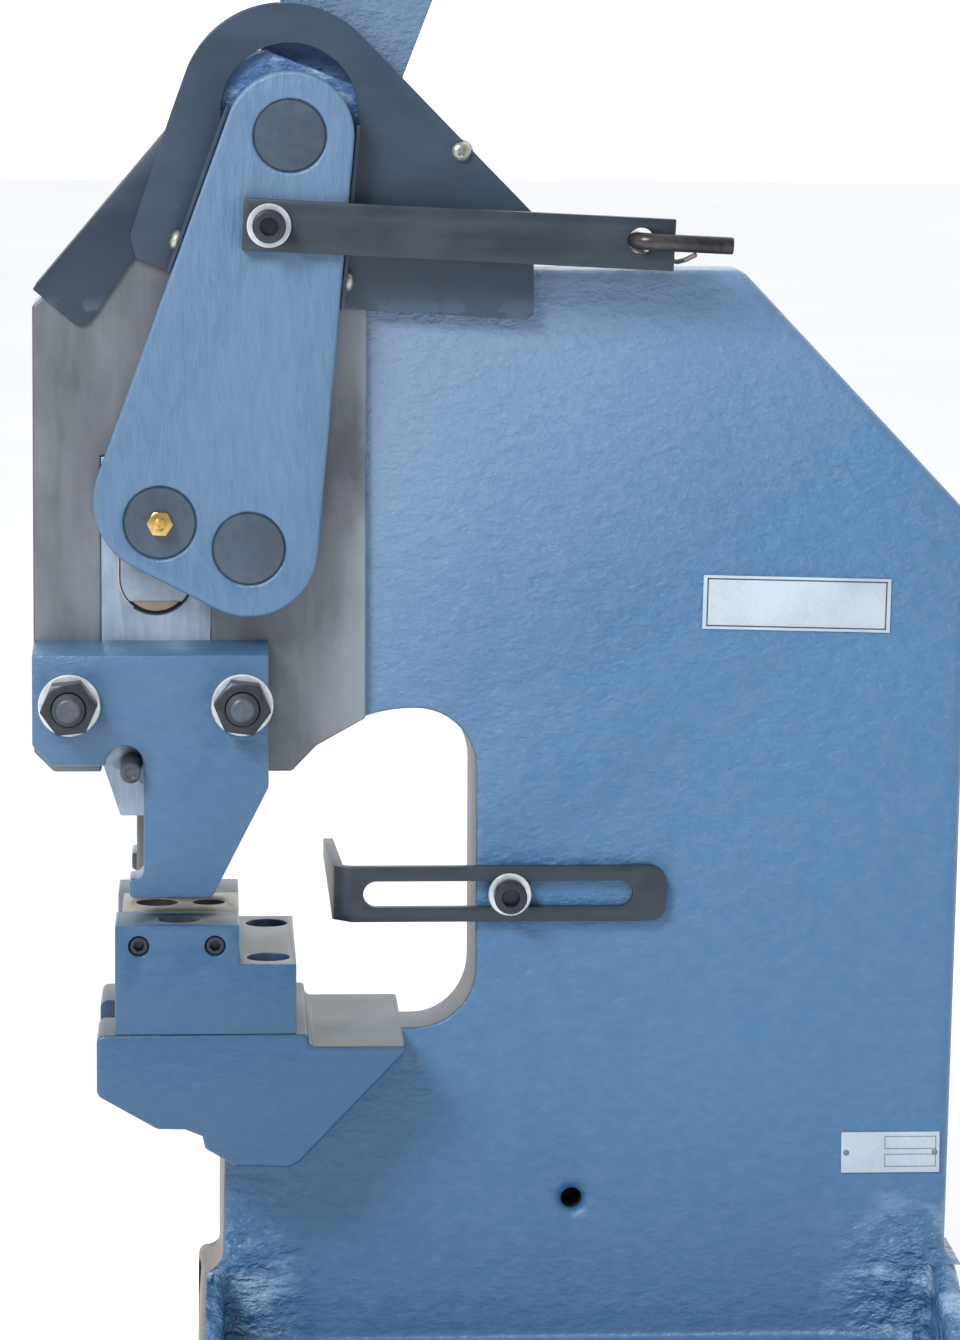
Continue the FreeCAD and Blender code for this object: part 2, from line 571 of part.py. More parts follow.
# the bronze pad fills the round foot of the window, and the pressure block stands on it
pad_top_z = ram_pin[1] - v.window_below_pin + v.pad_depth
block_half = v.window_r - 0.3
pad_r = v.window_r - 0.1
pad_half = math.sqrt(pad_r ** 2 - (window_low[1] - pad_top_z) ** 2)
pad_angle = math.degrees(math.asin((window_low[1] - pad_top_z) / pad_r))
pad = new_body("ram_wear_pad")
add(pad, [arc(window_low, pad_r, 180 + pad_angle, 360 - pad_angle),
          line((v.ram_x + pad_half, pad_top_z), (v.ram_x - pad_half, pad_top_z))],
    "-head_thick / 2 + 1", "head_thick - 2")

block = new_body("ram_pressure_block")
block_angle = math.degrees(math.asin((window_low[1] - pad_top_z) / block_half))
shoulder_z = ram_pin[1] + saddle_rise - math.sqrt(saddle_r ** 2 - (saddle_r - 1.5) ** 2)
add(block, [
    arc(window_low, block_half, 180, 180 + block_angle),
    line(polar(window_low, block_half, 180 + block_angle), polar(window_low, block_half, 360 - block_angle)),
    arc(window_low, block_half, 360 - block_angle, 360),
    line((v.ram_x + block_half, window_low[1]), (v.ram_x + block_half, shoulder_z)),
    line((v.ram_x + block_half, shoulder_z), (v.ram_x - block_half, shoulder_z)),
    line((v.ram_x - block_half, shoulder_z), (v.ram_x - block_half, window_low[1]))],
    "-head_thick / 2 + 1", "head_thick - 2")
remove(block, circle((saddle_x, ram_pin[1] + saddle_rise), saddle_r), "head_thick / 2", "head_thick")

shell = new_body("ram_lift_shell")
shell_r = v.window_r - 0.2
add(shell, [arc(window_high, shell_r, 20, 160),
            line(polar(window_high, shell_r, 160), polar(window_high, shell_r, 20))],
    "-head_thick / 2 + 1", "head_thick - 2")
remove(shell, circle((saddle_x, ram_pin[1] - saddle_rise), saddle_r), "head_thick / 2", "head_thick")

keep(joined("punch_blank", [
    rod("punch_body", "punch_r", "ram_nose_z - punch_tip_z", at(v.ram_x, 0, v.punch_tip_z), UP),
    rod("punch_shank", "punch_shank_r", "punch_shank_length", at(v.ram_x, 0, v.ram_nose_z), UP)]), "punch")

keep(rod("clamp_screw_bar", "clamp_screw_r", "clamp_screw_length",
         at(clamp_screw_x, -half_head - v.clamp_screw_out, v.clamp_screw_z), FAR), "punch_clamp_screw")

# ---------------------------------------------------------------- lever

lever_axis = 90 - v.lever_lean
lever_pitch = 360 / v.lever_teeth
rest_gap = gear_line + 180
lever_middles = [rest_gap + lever_pitch * (step + 0.5) for step in range(1, -6, -1)]


def on_lever(back, along):
    """A point of the lever: how far behind the pin's centre line, and how far along it."""
    return polar(polar(lever_pin, along, lever_axis), back, lever_axis - 90)


lever = new_body("lever")
half_end = v.arm_end_width / 2
lock_hole = on_lever(0, v.lock_hole_along)
add(lever, outline([
    on_lever(v.arm_back, 0), on_lever(v.arm_back, v.lock_hole_along), on_lever(half_end, v.arm_length),
    on_lever(-half_end, v.arm_length), on_lever(-v.arm_front, v.lock_hole_along),
    on_lever(-v.arm_front, 0)]), "-arm_thick / 2", "arm_thick")
flat_half = math.sqrt(v.hub_r ** 2 - v.hub_flat ** 2)
flat_turn = math.degrees(math.atan2(flat_half, v.hub_flat))
add(lever, [arc(lever_pin, v.hub_r, lever_axis + flat_turn, lever_axis + 360 - flat_turn),
            line(on_lever(flat_half, v.hub_flat), on_lever(-flat_half, v.hub_flat))],
    "-hub_thick / 2", "hub_thick")
foot_points = tooth_profile(lever_pin, int(v.lever_teeth), lever_middles, lever_pitch * 0.62)
foot_root_r = v.hub_r - 6
add(lever, joined_lines(foot_points + [
    polar(lever_pin, foot_root_r, lever_middles[-1] - lever_pitch), lever_pin,
    polar(lever_pin, foot_root_r, lever_middles[0] + lever_pitch), foot_points[0]]),
    "-foot_thick / 2", "foot_thick")
socket_start = v.arm_length - v.socket_length * 0.35
lever_bush_r = v.pin_r + v.running_fit + v.bush_wall
remove(lever, circle(lever_pin, lever_bush_r), "hub_thick / 2", "hub_thick")
remove(lever, circle(lock_hole, v.lock_hole_r), "arm_thick / 2", "arm_thick")

lever_direction = FreeCAD.Vector(math.cos(math.radians(lever_axis)), 0, math.sin(math.radians(lever_axis)))


def lever_point(back, y, along):
    x, z = on_lever(back, along)
    return at(x, y, z)


socket = rod("handle_socket", "socket_r", "socket_length", lever_point(0, 0, socket_start), lever_direction)
tube_hole = rod("handle_socket_bore", "tube_r + tube_fit", "socket_length",
                lever_point(0, 0, socket_start + 8), lever_direction)
screw_along = socket_start + v.socket_length * 0.72
screw_seat = lever_point(0, -v.socket_r, screw_along)
screw_hole = rod("handle_screw_hole", "handle_screw_r", "socket_r", screw_seat - FAR * 2, FAR)
parts.remove(lever)
lever.Label = "lever_plate"
keep(cut("lever_bored", joined("lever_blank", [lever, socket]),
         joined("lever_tools", [tube_hole, screw_hole])), "lever")

lever_bush = new_body("lever_bush")
add(lever_bush, circle(lever_pin, lever_bush_r) + circle(lever_pin, v.pin_r + v.running_fit),
    "-hub_thick / 2", "hub_thick")

tube_start = socket_start + 8
keep(cut("handle_tube_bored", rod("handle_tube_bar", "tube_r", f"lever_length - {tube_start}",
                                  lever_point(0, 0, tube_start), lever_direction),
         rod("handle_tube_bore", "tube_r - tube_wall", "lever_length + 20",
             lever_point(0, 0, tube_start - 5), lever_direction)), "handle_tube")
grip_start = v.lever_length - v.grip_length + v.grip_wall
keep(cut("handle_grip_bored", rod("handle_grip_bar", "tube_r + grip_wall", "grip_length",
                                  lever_point(0, 0, grip_start), lever_direction),
         rod("handle_grip_bore", "tube_r", "grip_length - grip_wall",
             lever_point(0, 0, grip_start), lever_direction)), "handle_grip")
keep(cap_screw("handle_screw_raw", "handle_screw_r", "m10_head_r", "m10_head", "m10_socket",
               "socket_r - tube_r", screw_seat, FAR), "handle_screw")

# ---------------------------------------------------------------- guards and front cover

GUARD_INNER = "head_thick / 2 + cover_gap + cover_sheet"
GUARD_OUTER = GUARD_INNER + " + sheet"
guard_inner = half_head + v.cover_gap + v.cover_sheet
guard_outer = guard_inner + v.sheet
inner_circles = [(centre, radius + v.guard_gap + v.sheet) for centre, radius in plate_circles]
back_edge, front_edge = belt(plate_circles)[1], belt(plate_circles)[3]


def by_lever_pin(dx, dz, *radius):
    return (lever_pin[0] + dx, lever_pin[1] + dz, *radius)


def beside(edge, dz, gap):
    """The point beside a straight edge of the side plate, dz from the lever pin's height."""
    start, ahead = edge.StartPoint, (edge.EndPoint - edge.StartPoint).normalize()
    point = start + ahead * ((lever_pin[1] + dz - start.y) / ahead.y)
    point += FreeCAD.Vector(ahead.y, -ahead.x, 0) * gap
    return (point.x, point.y)


def flange(edge, low, high):
    """The section of a guard's flange beside an edge of the side plate."""
    near_gap, far_gap = v.guard_gap, v.guard_gap + v.sheet
    return outline([beside(edge, low, near_gap), beside(edge, low, far_gap),
                    beside(edge, high, far_gap), beside(edge, high, near_gap)])


def edge_screw(edge, dz, sign):
    """The seat and the direction of a screw through a flange into the edge of a side plate."""
    foot = beside(edge, dz, v.guard_gap + v.sheet)
    inside = beside(edge, dz, 0)
    y = sign * (guard_outer + v.guard_flange / 2)
    inward = (at(inside[0], y, inside[1]) - at(foot[0], y, foot[1])).normalize()
    return at(foot[0], y, foot[1]), inward


def pan_screw(label, length, seat, inward):
    head = rod(f"{label}_head", "guard_screw_head_r", "guard_screw_head", seat, inward * -1)
    return joined(label, [rod(f"{label}_shank", "guard_screw_r", length, seat, inward), head])


spacer_at = by_lever_pin(v.spacer_dx, v.spacer_dz)
edge_screws = {side: [edge_screw(edge, dz, sign)
                      for edge, dz in ((back_edge, v.back_screw_dz), (front_edge, v.front_screw_dz))]
               for side, sign in SIDES.items()}


def make_guard(side):
    guard = new_body(f"guard_{side}_sheet")
    arc_centre = by_lever_pin(v.guard_centre_dx, v.guard_centre_dz)
    arc_ends = (44.2, 160.4)
    corners = [polar(arc_centre, v.guard_r, arc_ends[0]), polar(arc_centre, v.guard_r, arc_ends[1]),
               by_lever_pin(v.guard_shoulder_dx, v.guard_shoulder_dz),
               by_lever_pin(v.guard_nose_dx, v.guard_nose_dz), by_lever_pin(v.guard_lip_dx, v.guard_lip_dz),
               beside(front_edge, v.guard_front_dz, v.guard_gap),
               beside(front_edge, v.guard_low_dz, -v.plate_top_r / 3), beside(back_edge, v.guard_low_dz, 0),
               by_lever_pin(v.guard_back_dx - v.guard_corner, v.guard_back_dz),
               by_lever_pin(v.guard_back_dx, v.guard_back_dz + v.guard_corner),
               by_lever_pin(v.guard_back_dx, v.guard_tip_dz)]
    edges = [line(start, end) for start, end in zip(corners[1:], corners[2:] + corners[:1])]
    add(guard, edges + [arc(arc_centre, v.guard_r, *arc_ends)] + circle(spacer_at, v.guard_screw_r),
        spread(side, GUARD_INNER, "sheet"), "sheet")
    face = GUARD_OUTER if side == "near" else f"-({GUARD_INNER})"
    remove(guard, belt(inner_circles), face, "sheet")
    remove(guard, circle(by_lever_pin(0, v.arch_rise), v.arch_r), face, "sheet")
    for edge, low, high in ((back_edge, v.guard_low_dz, v.flange_top_dz),
                            (front_edge, v.guard_front_dz, v.flange_front_top_dz)):
        add(guard, flange(edge, low, high), spread(side, GUARD_INNER, "sheet + guard_flange"),
            "sheet + guard_flange")
    parts.remove(guard)
    holes = together(f"guard_{side}_holes", [
        rod(f"guard_{side}_hole_{number}", "guard_screw_r", "guard_screw_length", seat - inward, inward)
        for number, (seat, inward) in enumerate(edge_screws[side])])
    keep(cut(f"guard_{side}_drilled", guard, holes), f"guard_{side}")


for side in SIDES:
    make_guard(side)

screws = []
for side, sign in SIDES.items():
    for number, (seat, inward) in enumerate(edge_screws[side]):
        screws.append(pan_screw(f"edge_screw_{side}_{number}", "guard_screw_length", seat, inward))
    screws.append(pan_screw(f"spacer_screw_{side}", "guard_screw_length",
                            at(spacer_at[0], sign * guard_outer, spacer_at[1]), FreeCAD.Vector(0, -sign, 0)))
keep(together("guard_screws_group", screws), "guard_screws")

keep(cut("guard_spacer_bored",
         rod("guard_spacer_bar", "spacer_r", f"2 * ({GUARD_INNER})",
             at(spacer_at[0], guard_inner, spacer_at[1]), NEAR),
         rod("guard_spacer_bore", "guard_screw_r", f"2 * ({GUARD_INNER})",
             at(spacer_at[0], guard_inner, spacer_at[1]), NEAR)), "guard_spacer")

cover = new_body("front_cover")
roof_start = by_lever_pin(v.cover_tip_dx, v.cover_tip_dz)
slope = (flat(by_lever_pin(v.cover_top_dx, v.cover_top_dz)) - flat(roof_start)).normalize()
outwards = FreeCAD.Vector(-slope.y, slope.x, 0)
clear_of_head = v.head_top_r - (flat(roof_start) - flat(pivot)).dot(outwards)
clear_of_hub = v.hub_r - (flat(roof_start) - flat(lever_pin)).dot(outwards)
cover_rise = max(clear_of_head, clear_of_hub) + v.cover_clear + v.sheet


def on_cover(dx, dz, *radius):
    """A corner of the front cover, moved out so that its roof clears the head and the lever's hub."""
    point = flat(by_lever_pin(dx, dz)) + outwards * cover_rise
    return (point.x, point.y, *radius)


cover_tip, cover_top = on_cover(v.cover_tip_dx, v.cover_tip_dz), on_cover(v.cover_top_dx, v.cover_top_dz)
drop = slope.cross(FreeCAD.Vector(0, 0, 1)) * v.cover_drop
cover_side = outline([cover_tip, (cover_tip[0] + drop.x, cover_tip[1] + drop.y),
                      on_cover(v.cover_low_dx, v.cover_low_dz, v.cover_low_r),
                      on_cover(v.cover_inner_dx, v.cover_inner_dz),
                      on_cover(v.cover_back_dx, v.cover_back_dz), on_cover(v.cover_edge_dx, v.cover_top_dz),
                      cover_top])
under = outwards * -v.sheet
cover_roof = outline([cover_tip, (cover_tip[0] + under.x, cover_tip[1] + under.y),
                      (cover_top[0] + under.x, cover_top[1] + under.y), cover_top])
COVER_INNER = "head_thick / 2 + cover_gap"
add(cover, cover_roof, f"-({GUARD_INNER})", f"2 * ({GUARD_INNER})")
for side in SIDES:
    add(cover, cover_side, spread(side, COVER_INNER, "cover_sheet"), "cover_sheet")

# ---------------------------------------------------------------- side plates get their tapped edges

for side in SIDES:
    plate = next(part for part in parts if part.Label == f"side_plate_{side}")
    parts.remove(plate)
    plate.Label = f"side_plate_{side}_blank"
    taps = together(f"side_plate_{side}_taps", [
        rod(f"side_plate_{side}_tap_{number}", "guard_screw_r", "guard_screw_length", seat, inward)
        for number, (seat, inward) in enumerate(edge_screws[side])])
    keep(cut(f"side_plate_{side}_drilled", plate, taps), f"side_plate_{side}")

# ---------------------------------------------------------------- lock bar and its pin

bar_turn = -v.bar_tilt
BAR_BACK = f"{PLATE_OUTER} + bar_gap"
bar_front = plate_outer + v.bar_gap + v.bar_thick


def on_bar(along, up):
    return turned((bar_pivot[0] + along, bar_pivot[1] + up), bar_pivot, bar_turn)


half_bar = v.bar_width / 2
bar_lock_hole = on_bar(v.bar_reach, v.bar_hole_rise)
bar = new_body("lock_bar")
add(bar, outline([on_bar(-v.bar_lead, -half_bar), on_bar(v.bar_length - v.bar_lead, -half_bar),
                  on_bar(v.bar_length - v.bar_lead, half_bar), on_bar(-v.bar_lead, half_bar)])
    + circle(bar_pivot, v.m10_r + v.running_fit) + circle(bar_lock_hole, v.lock_hole_r),
    BAR_BACK, "bar_thick")

washer_y = bar_front + v.bar_gap
bar_washer = new_body("lock_bar_washer")
add(bar_washer, circle(bar_pivot, v.m10_washer_r) + circle(bar_pivot, v.m10_r),
    f"{BAR_BACK} + bar_thick + bar_gap", "washer_thick")
keep(cap_screw("lock_bar_screw_raw", "m10_r", "m10_head_r", "m10_head", "m10_socket",
               "washer_thick + 2 * bar_gap + bar_thick + m10_depth",
               at(bar_pivot[0], -washer_y - v.washer_thick, bar_pivot[1]), FAR), "lock_bar_screw")

seated = v.lock_hole_r - v.lock_pin_r
leg = on_bar(v.bar_reach - seated, v.bar_hole_rise)
handle_y = -(bar_front + 1 + v.lock_pin_r)
along_bar = flat(on_bar(1, 0)) - flat(bar_pivot)
along_bar = FreeCAD.Vector(along_bar.x, 0, along_bar.y)
corner = at(leg[0], handle_y, leg[1])
bend = doc.addObject("Part::Torus", "lock_pin_elbow")
bend.setExpression("Radius1", bind("lock_pin_bend"))
bend.setExpression("Radius2", bind("lock_pin_r"))
bend.Angle3 = 90
bend_centre = corner + FAR * v.lock_pin_bend + along_bar * v.lock_pin_bend
bend.Placement = FreeCAD.Placement(bend_centre, FreeCAD.Rotation(
    along_bar * -1, NEAR, along_bar.cross(FAR), "XYZ"))
keep(joined("lock_pin_rod", [
    rod("lock_pin_leg_bar", "lock_pin_r", "lock_pin_leg - lock_pin_bend",
        corner + FAR * v.lock_pin_bend, FAR),
    bend,
    rod("lock_pin_handle_bar", "lock_pin_r", "lock_pin_handle - lock_pin_bend",
        corner + along_bar * v.lock_pin_bend, along_bar)]), "lock_pin")


def wire_point(along, y, below):
    """A point of the wire clip, from the pin's corner: along the bar, across, and below the rod."""
    x, z = on_bar(v.bar_reach - seated + along, v.bar_hole_rise - below)
    return at(x, y, z)


wire_under = v.lock_pin_r + v.wire_r
handle_reach = v.lock_pin_handle * 0.6
wire_path = [wire_point(handle_reach, handle_y, wire_under),
             wire_point(handle_reach - 4, handle_y + 2, wire_under + 2.4),
             wire_point(21, -plate_outer + 6, wire_under + 4.5),
             wire_point(10, -plate_outer + 20, wire_under + 3),
             wire_point(0, handle_y + v.lock_pin_leg - 8, wire_under),
             wire_point(0, handle_y + v.lock_pin_leg - 2, wire_under)]
wire_pieces = []
for number, (start, end) in enumerate(zip(wire_path, wire_path[1:])):
    wire_pieces.append(rod(f"wire_run_{number}", "wire_r", str((end - start).Length), start, end - start))
    knee = doc.addObject("Part::Sphere", f"wire_knee_{number}")
    knee.setExpression("Radius", bind("wire_r"))
    knee.Placement = FreeCAD.Placement(start, FreeCAD.Rotation())
    wire_pieces.append(knee)
keep(joined("lock_pin_wire_rod", wire_pieces), "lock_pin_wire")

# ---------------------------------------------------------------- stripper brackets and their bolts

notch = (clamp_screw_x - 3, v.clamp_screw_z + 3)
notch_r = v.clamp_screw_r + 4.2
arm_x = notch[0] + notch_r
foot_front_x, foot_back_x = arm_x - 7, arm_x + 33
for side in SIDES:
    bracket = new_body(f"stripper_bracket_{side}")
    holes = []
    for x in stripper_bolts:
        holes += circle((x, v.stripper_bolt_z), v.m16_r + v.hole_gap)
    add(bracket, outline([
        (v.head_front_x, v.bracket_low_z + 10), (v.head_front_x + 9.6, v.bracket_low_z),
        (arm_x, v.bracket_low_z), (arm_x, v.bracket_foot_z + 9, 5),
        (foot_front_x, v.bracket_foot_z + 9, 1.5), (foot_front_x, v.bracket_foot_z, 2.5),
        (foot_back_x, v.bracket_foot_z), (v.bracket_back_x, v.bracket_foot_z + v.bracket_slope),
        (v.bracket_back_x, v.bracket_top_z), (v.head_front_x, v.bracket_top_z)]) + holes,
        spread(side, "head_thick / 2", "bracket_thick"), "bracket_thick")
    remove(bracket, circle(notch, notch_r),
           "head_thick / 2 + bracket_thick" if side == "near" else "-head_thick / 2", "bracket_thick")

bolts, washers, nuts = [], [], []
for number, x in enumerate(stripper_bolts):
    far_face = at(x, bracket_outer + v.m16_washer, v.stripper_bolt_z)
    near_face = at(x, -bracket_outer - v.m16_washer, v.stripper_bolt_z)
    bolts.append(joined(f"stripper_bolt_{number}", [
        hexagon(f"stripper_head_{number}", "m16_across", "m16_head", far_face, FAR),
        rod(f"stripper_shank_{number}", "m16_r",
            "head_thick + 2 * bracket_thick + 2 * m16_washer + m16_nut + stud_out", far_face, NEAR)]))
    nuts.append(cut(f"stripper_nut_{number}",
                    hexagon(f"stripper_nut_blank_{number}", "m16_across", "m16_nut", near_face, NEAR),
                    rod(f"stripper_nut_bore_{number}", "m16_r", "m16_nut", near_face, NEAR)))
    for side, start, along in (("near", near_face, FAR), ("far", far_face, NEAR)):
        washers.append(cut(f"stripper_washer_{side}_{number}",
                           rod(f"stripper_disc_{side}_{number}", "m16_washer_r", "m16_washer", start, along),
                           rod(f"stripper_eye_{side}_{number}", "m16_r", "m16_washer", start, along)))
keep(together("stripper_bolts_group", bolts), "stripper_bolts")
keep(together("stripper_washers_group", washers), "stripper_washers")
keep(together("stripper_nuts_group", nuts), "stripper_nuts")

# ---------------------------------------------------------------- die holder and die

holder = new_body("die_holder")
add(holder, outline([
    (v.holder_front_x, v.table_top_z), (v.holder_back_x, v.table_top_z),
    (v.holder_back_x, holder_top_z - v.holder_step), (v.holder_step_x, holder_top_z - v.holder_step),
    (v.holder_step_x, holder_top_z), (v.holder_front_x, holder_top_z)]), "-holder_width / 2", "holder_width")
HOLDER_TOP = "table_top_z + holder_height"
half_slot = v.insert_width / 2 + v.insert_fit
remove(holder, outline([
    (v.holder_front_x - 1, -half_slot), (v.holder_step_x, -half_slot), (v.holder_step_x, half_slot),
    (v.holder_front_x - 1, half_slot)]), HOLDER_TOP, "insert_depth", "XY_Plane")
remove(holder, circle((v.ram_x, 0), v.punch_r + v.slug_relief)
       + circle((v.second_die_x, 0), v.second_die_r + v.slug_relief), HOLDER_TOP, "holder_height", "XY_Plane")
for side in (-1, 1):
    remove(holder, circle((v.rack_wall_x, side * v.rack_y), v.rack_r), HOLDER_TOP, "rack_depth", "XY_Plane")
    remove(holder, circle((v.rack_back_x, side * v.rack_y), v.rack_r), f"{HOLDER_TOP} - holder_step",
           "rack_depth", "XY_Plane")
    remove(holder, circle((v.hold_screw_x, side * v.hold_screw_y), v.hold_screw_r),
           "table_top_z + hold_screw_bite", "hold_screw_bite", "XY_Plane")
set_screw_places = (v.set_screw_front_x, v.set_screw_back_x)
for x in set_screw_places:
    remove(holder, circle((x, v.set_screw_z), v.set_screw_r), "holder_width / 2",
           "(holder_width - insert_width) / 2")

insert = new_body("die_insert")
insert_back = v.holder_step_x - v.insert_fit
add(insert, outline([
    (insert_back - v.insert_length, -v.insert_width / 2), (insert_back, -v.insert_width / 2),
    (insert_back, v.insert_width / 2), (insert_back - v.insert_length, v.insert_width / 2)]),
    f"{HOLDER_TOP} - insert_depth", "insert_depth", "XY_Plane")
for x, radius in ((v.ram_x, v.punch_r + v.die_clearance), (v.second_die_x, v.second_die_r)):
    remove(insert, circle((x, 0), radius), HOLDER_TOP, "insert_depth", "XY_Plane")
    remove(insert, circle((x, 0), radius + v.slug_relief - v.die_clearance), f"{HOLDER_TOP} - 12",
           "insert_depth - 12", "XY_Plane")

die_screws = []
for number, x in enumerate(set_screw_places):
    inner_end = at(x, -v.insert_width / 2 - v.insert_fit, v.set_screw_z)
    length = "(holder_width - insert_width) / 2 - insert_fit - 1.5"
    outer_end = at(x, -v.holder_width / 2 + 1.5, v.set_screw_z)
    die_screws.append(cut(
        f"die_screw_{number}", rod(f"die_screw_bar_{number}", "set_screw_r", length, inner_end, NEAR),
        hexagon(f"die_screw_socket_{number}", "set_screw_r", "set_screw_depth", outer_end, FAR)))
keep(together("die_screws_group", die_screws), "die_screws")

hold_screws = []
for number, y in enumerate((-v.hold_screw_y, v.hold_screw_y)):
    seat = at(v.hold_screw_x, y, table_bottom_z + v.hold_screw_head)
    hold_screws.append(cap_screw(
        f"hold_screw_{number}", "hold_screw_r", "hold_screw_head_r", "hold_screw_head", "m10_socket",
        "table_depth - hold_screw_head + hold_screw_bite", seat, UP))
keep(together("hold_screws_group", hold_screws), "die_holder_screws")

# ---------------------------------------------------------------- back stop

stop_low, stop_high = v.stop_z - v.stop_height / 2, v.stop_z + v.stop_height / 2
stop_back_x = v.stop_front_x + v.stop_length
stop_y = half_web + v.bar_gap
slot_front = v.stop_front_x + v.stop_slot_front + v.stop_slot_r
slot_back = slot_front + v.stop_slot_length - 2 * v.stop_slot_r
stop = new_body("back_stop")
add(stop, outline([(v.stop_front_x, stop_low), (stop_back_x, stop_low, v.stop_corner_r),
                   (stop_back_x, stop_high, v.stop_corner_r), (v.stop_front_x, stop_high)])
    + slot((slot_front, v.stop_z), (slot_back, v.stop_z), v.stop_slot_r),
    "web_thick / 2 + bar_gap", "stop_thick")
tab_start = -stop_y - v.stop_thick
add(stop, outline([
    (v.stop_front_x, tab_start), (v.stop_front_x + v.stop_thick, tab_start),
    (v.stop_front_x + v.stop_thick, -stop_y),
    (v.stop_front_x + v.stop_thick - v.stop_tab_lean, tab_start + v.stop_tab),
    (v.stop_front_x - v.stop_tab_lean, tab_start + v.stop_tab)]),
    "stop_z - stop_height / 2", "stop_height", "XY_Plane")
past_tab = tab_start + v.stop_tab + 1
remove(stop, outline([(-stop_y, stop_low - 1), (past_tab, stop_low - 1), (past_tab, stop_high - v.stop_tip),
                      (-stop_y, stop_low)]),
       "stop_front_x + stop_thick", "2 * stop_thick + stop_tab_lean", "YZ_Plane")

stop_screw = (v.stop_screw_x, v.stop_z)
stop_washer = new_body("back_stop_washer")
add(stop_washer, circle(stop_screw, v.m10_washer_r) + circle(stop_screw, v.m10_r),
    "web_thick / 2 + 2 * bar_gap + stop_thick", "washer_thick")
keep(cap_screw("back_stop_screw_raw", "m10_r", "m10_head_r", "m10_head", "m10_socket",
               "washer_thick + 2 * bar_gap + stop_thick + m10_depth",
               at(v.stop_screw_x, tab_start - v.bar_gap - v.washer_thick, v.stop_z), FAR), "back_stop_screw")

# ---------------------------------------------------------------- plates on the web

for label, x, z, length, height in (
        ("name_plate", v.name_x, v.name_z, v.name_length, v.name_height),
        ("data_plate", v.data_x, v.data_z, v.data_length, v.data_height)):
    plate = new_body(label)
    add(plate, outline([(x - length / 2, z - height / 2), (x + length / 2, z - height / 2),
                        (x + length / 2, z + height / 2), (x - length / 2, z + height / 2)]),
        "web_thick / 2", "label_thick")
keep(together("rivets_group", [
    rod(f"rivet_{number}", "rivet_r", "rivet_height",
        at(v.data_x + side * (v.data_length / 2 - v.rivet_inset), -half_web - v.label_thick, v.data_z), NEAR)
    for number, side in enumerate((-1, 1))]), "data_plate_rivets")

# ---------------------------------------------------------------- checks and export

doc.recompute()
for item in doc.Objects:
    if {"Invalid", "Error"} & set(item.State):
        raise RuntimeError(f"{item.Name} did not build")
for part in parts:
    if part.Shape.isNull() or not part.Shape.isValid():
        raise RuntimeError(f"{part.Label} has no valid shape")
os.makedirs("parts", exist_ok=True)
for part in parts:
    part.Shape.exportStep(f"parts/{part.Label}.step")
    print(f"{part.Label}: {len(part.Shape.Solids)} solids, {part.Shape.Volume / 1000:.1f} cm3")
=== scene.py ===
"""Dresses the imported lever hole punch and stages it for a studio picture.

Each sub-assembly is a class with its sizes as fields and a build method. Sizes are metres.
"""
import logging
import math
from contextlib import contextmanager
from dataclasses import dataclass, field
from enum import Enum
from typing import Callable, Iterator, Sequence

import bpy
from mathutils import Matrix, Vector


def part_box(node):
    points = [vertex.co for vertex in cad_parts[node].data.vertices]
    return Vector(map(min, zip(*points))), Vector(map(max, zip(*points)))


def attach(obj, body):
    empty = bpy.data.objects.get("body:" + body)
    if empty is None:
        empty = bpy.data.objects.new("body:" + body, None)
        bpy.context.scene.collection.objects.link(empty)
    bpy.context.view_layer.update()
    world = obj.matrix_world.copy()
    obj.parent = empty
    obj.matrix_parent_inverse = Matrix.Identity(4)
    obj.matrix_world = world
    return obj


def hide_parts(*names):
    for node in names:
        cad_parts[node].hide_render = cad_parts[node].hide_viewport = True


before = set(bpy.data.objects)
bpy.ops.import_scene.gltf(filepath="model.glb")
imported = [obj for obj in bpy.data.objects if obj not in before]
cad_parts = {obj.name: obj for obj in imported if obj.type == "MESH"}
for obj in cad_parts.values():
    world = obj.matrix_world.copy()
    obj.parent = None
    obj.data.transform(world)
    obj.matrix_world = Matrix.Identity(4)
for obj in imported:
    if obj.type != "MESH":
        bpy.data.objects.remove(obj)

LOG = logging.getLogger("hole_punch")
MM = 0.001
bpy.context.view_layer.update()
NEARWARD = Vector((0, -1, 0))
FARWARD = Vector((0, 1, 0))

Piece = bpy.types.Object
Material = bpy.types.Material
Socket = bpy.types.NodeSocket
Colour = tuple[float, float, float]
Span = tuple[float, float]
FaceTest = Callable[[Vector, Vector], bool]


class Body(Enum):
    """The moving bodies that a piece can ride on."""

    FRAME = "frame"
    ROCKER = "rocker"
    LEVER = "lever"
    RAM = "ram"
    LOCK_BAR = "lock_bar"
    BACK_STOP = "back_stop"


class Side(Enum):
    """The two sides of the machine, with the sign of their Y."""

    NEAR = -1
    FAR = 1


# ------------------------------------------------------------------ shader helpers


def srgb(red: int, green: int, blue: int) -> Colour:
    """Turns a screen colour into the shader's linear one.

    Args:
        red: Red from 0 to 255.
        green: Green from 0 to 255.
        blue: Blue from 0 to 255.

    Returns:
        The colour as three linear numbers.
    """
    def linear(channel: int) -> float:
        """One channel made linear."""
        share = channel / 255
        return share / 12.92 if share <= 0.04045 else ((share + 0.055) / 1.055) ** 2.4

    return linear(red), linear(green), linear(blue)


def set_range(node: bpy.types.Node, taken: Span, given: Span) -> None:
    """Sets a Map Range node.

    Args:
        node: The node.
        taken: The range that it takes.
        given: The range that it gives.
    """
    for side, pair in (("From", taken), ("To", given)):
        for end, number in zip(("Min", "Max"), pair):
            node.inputs[f"{side} {end}"].default_value = number


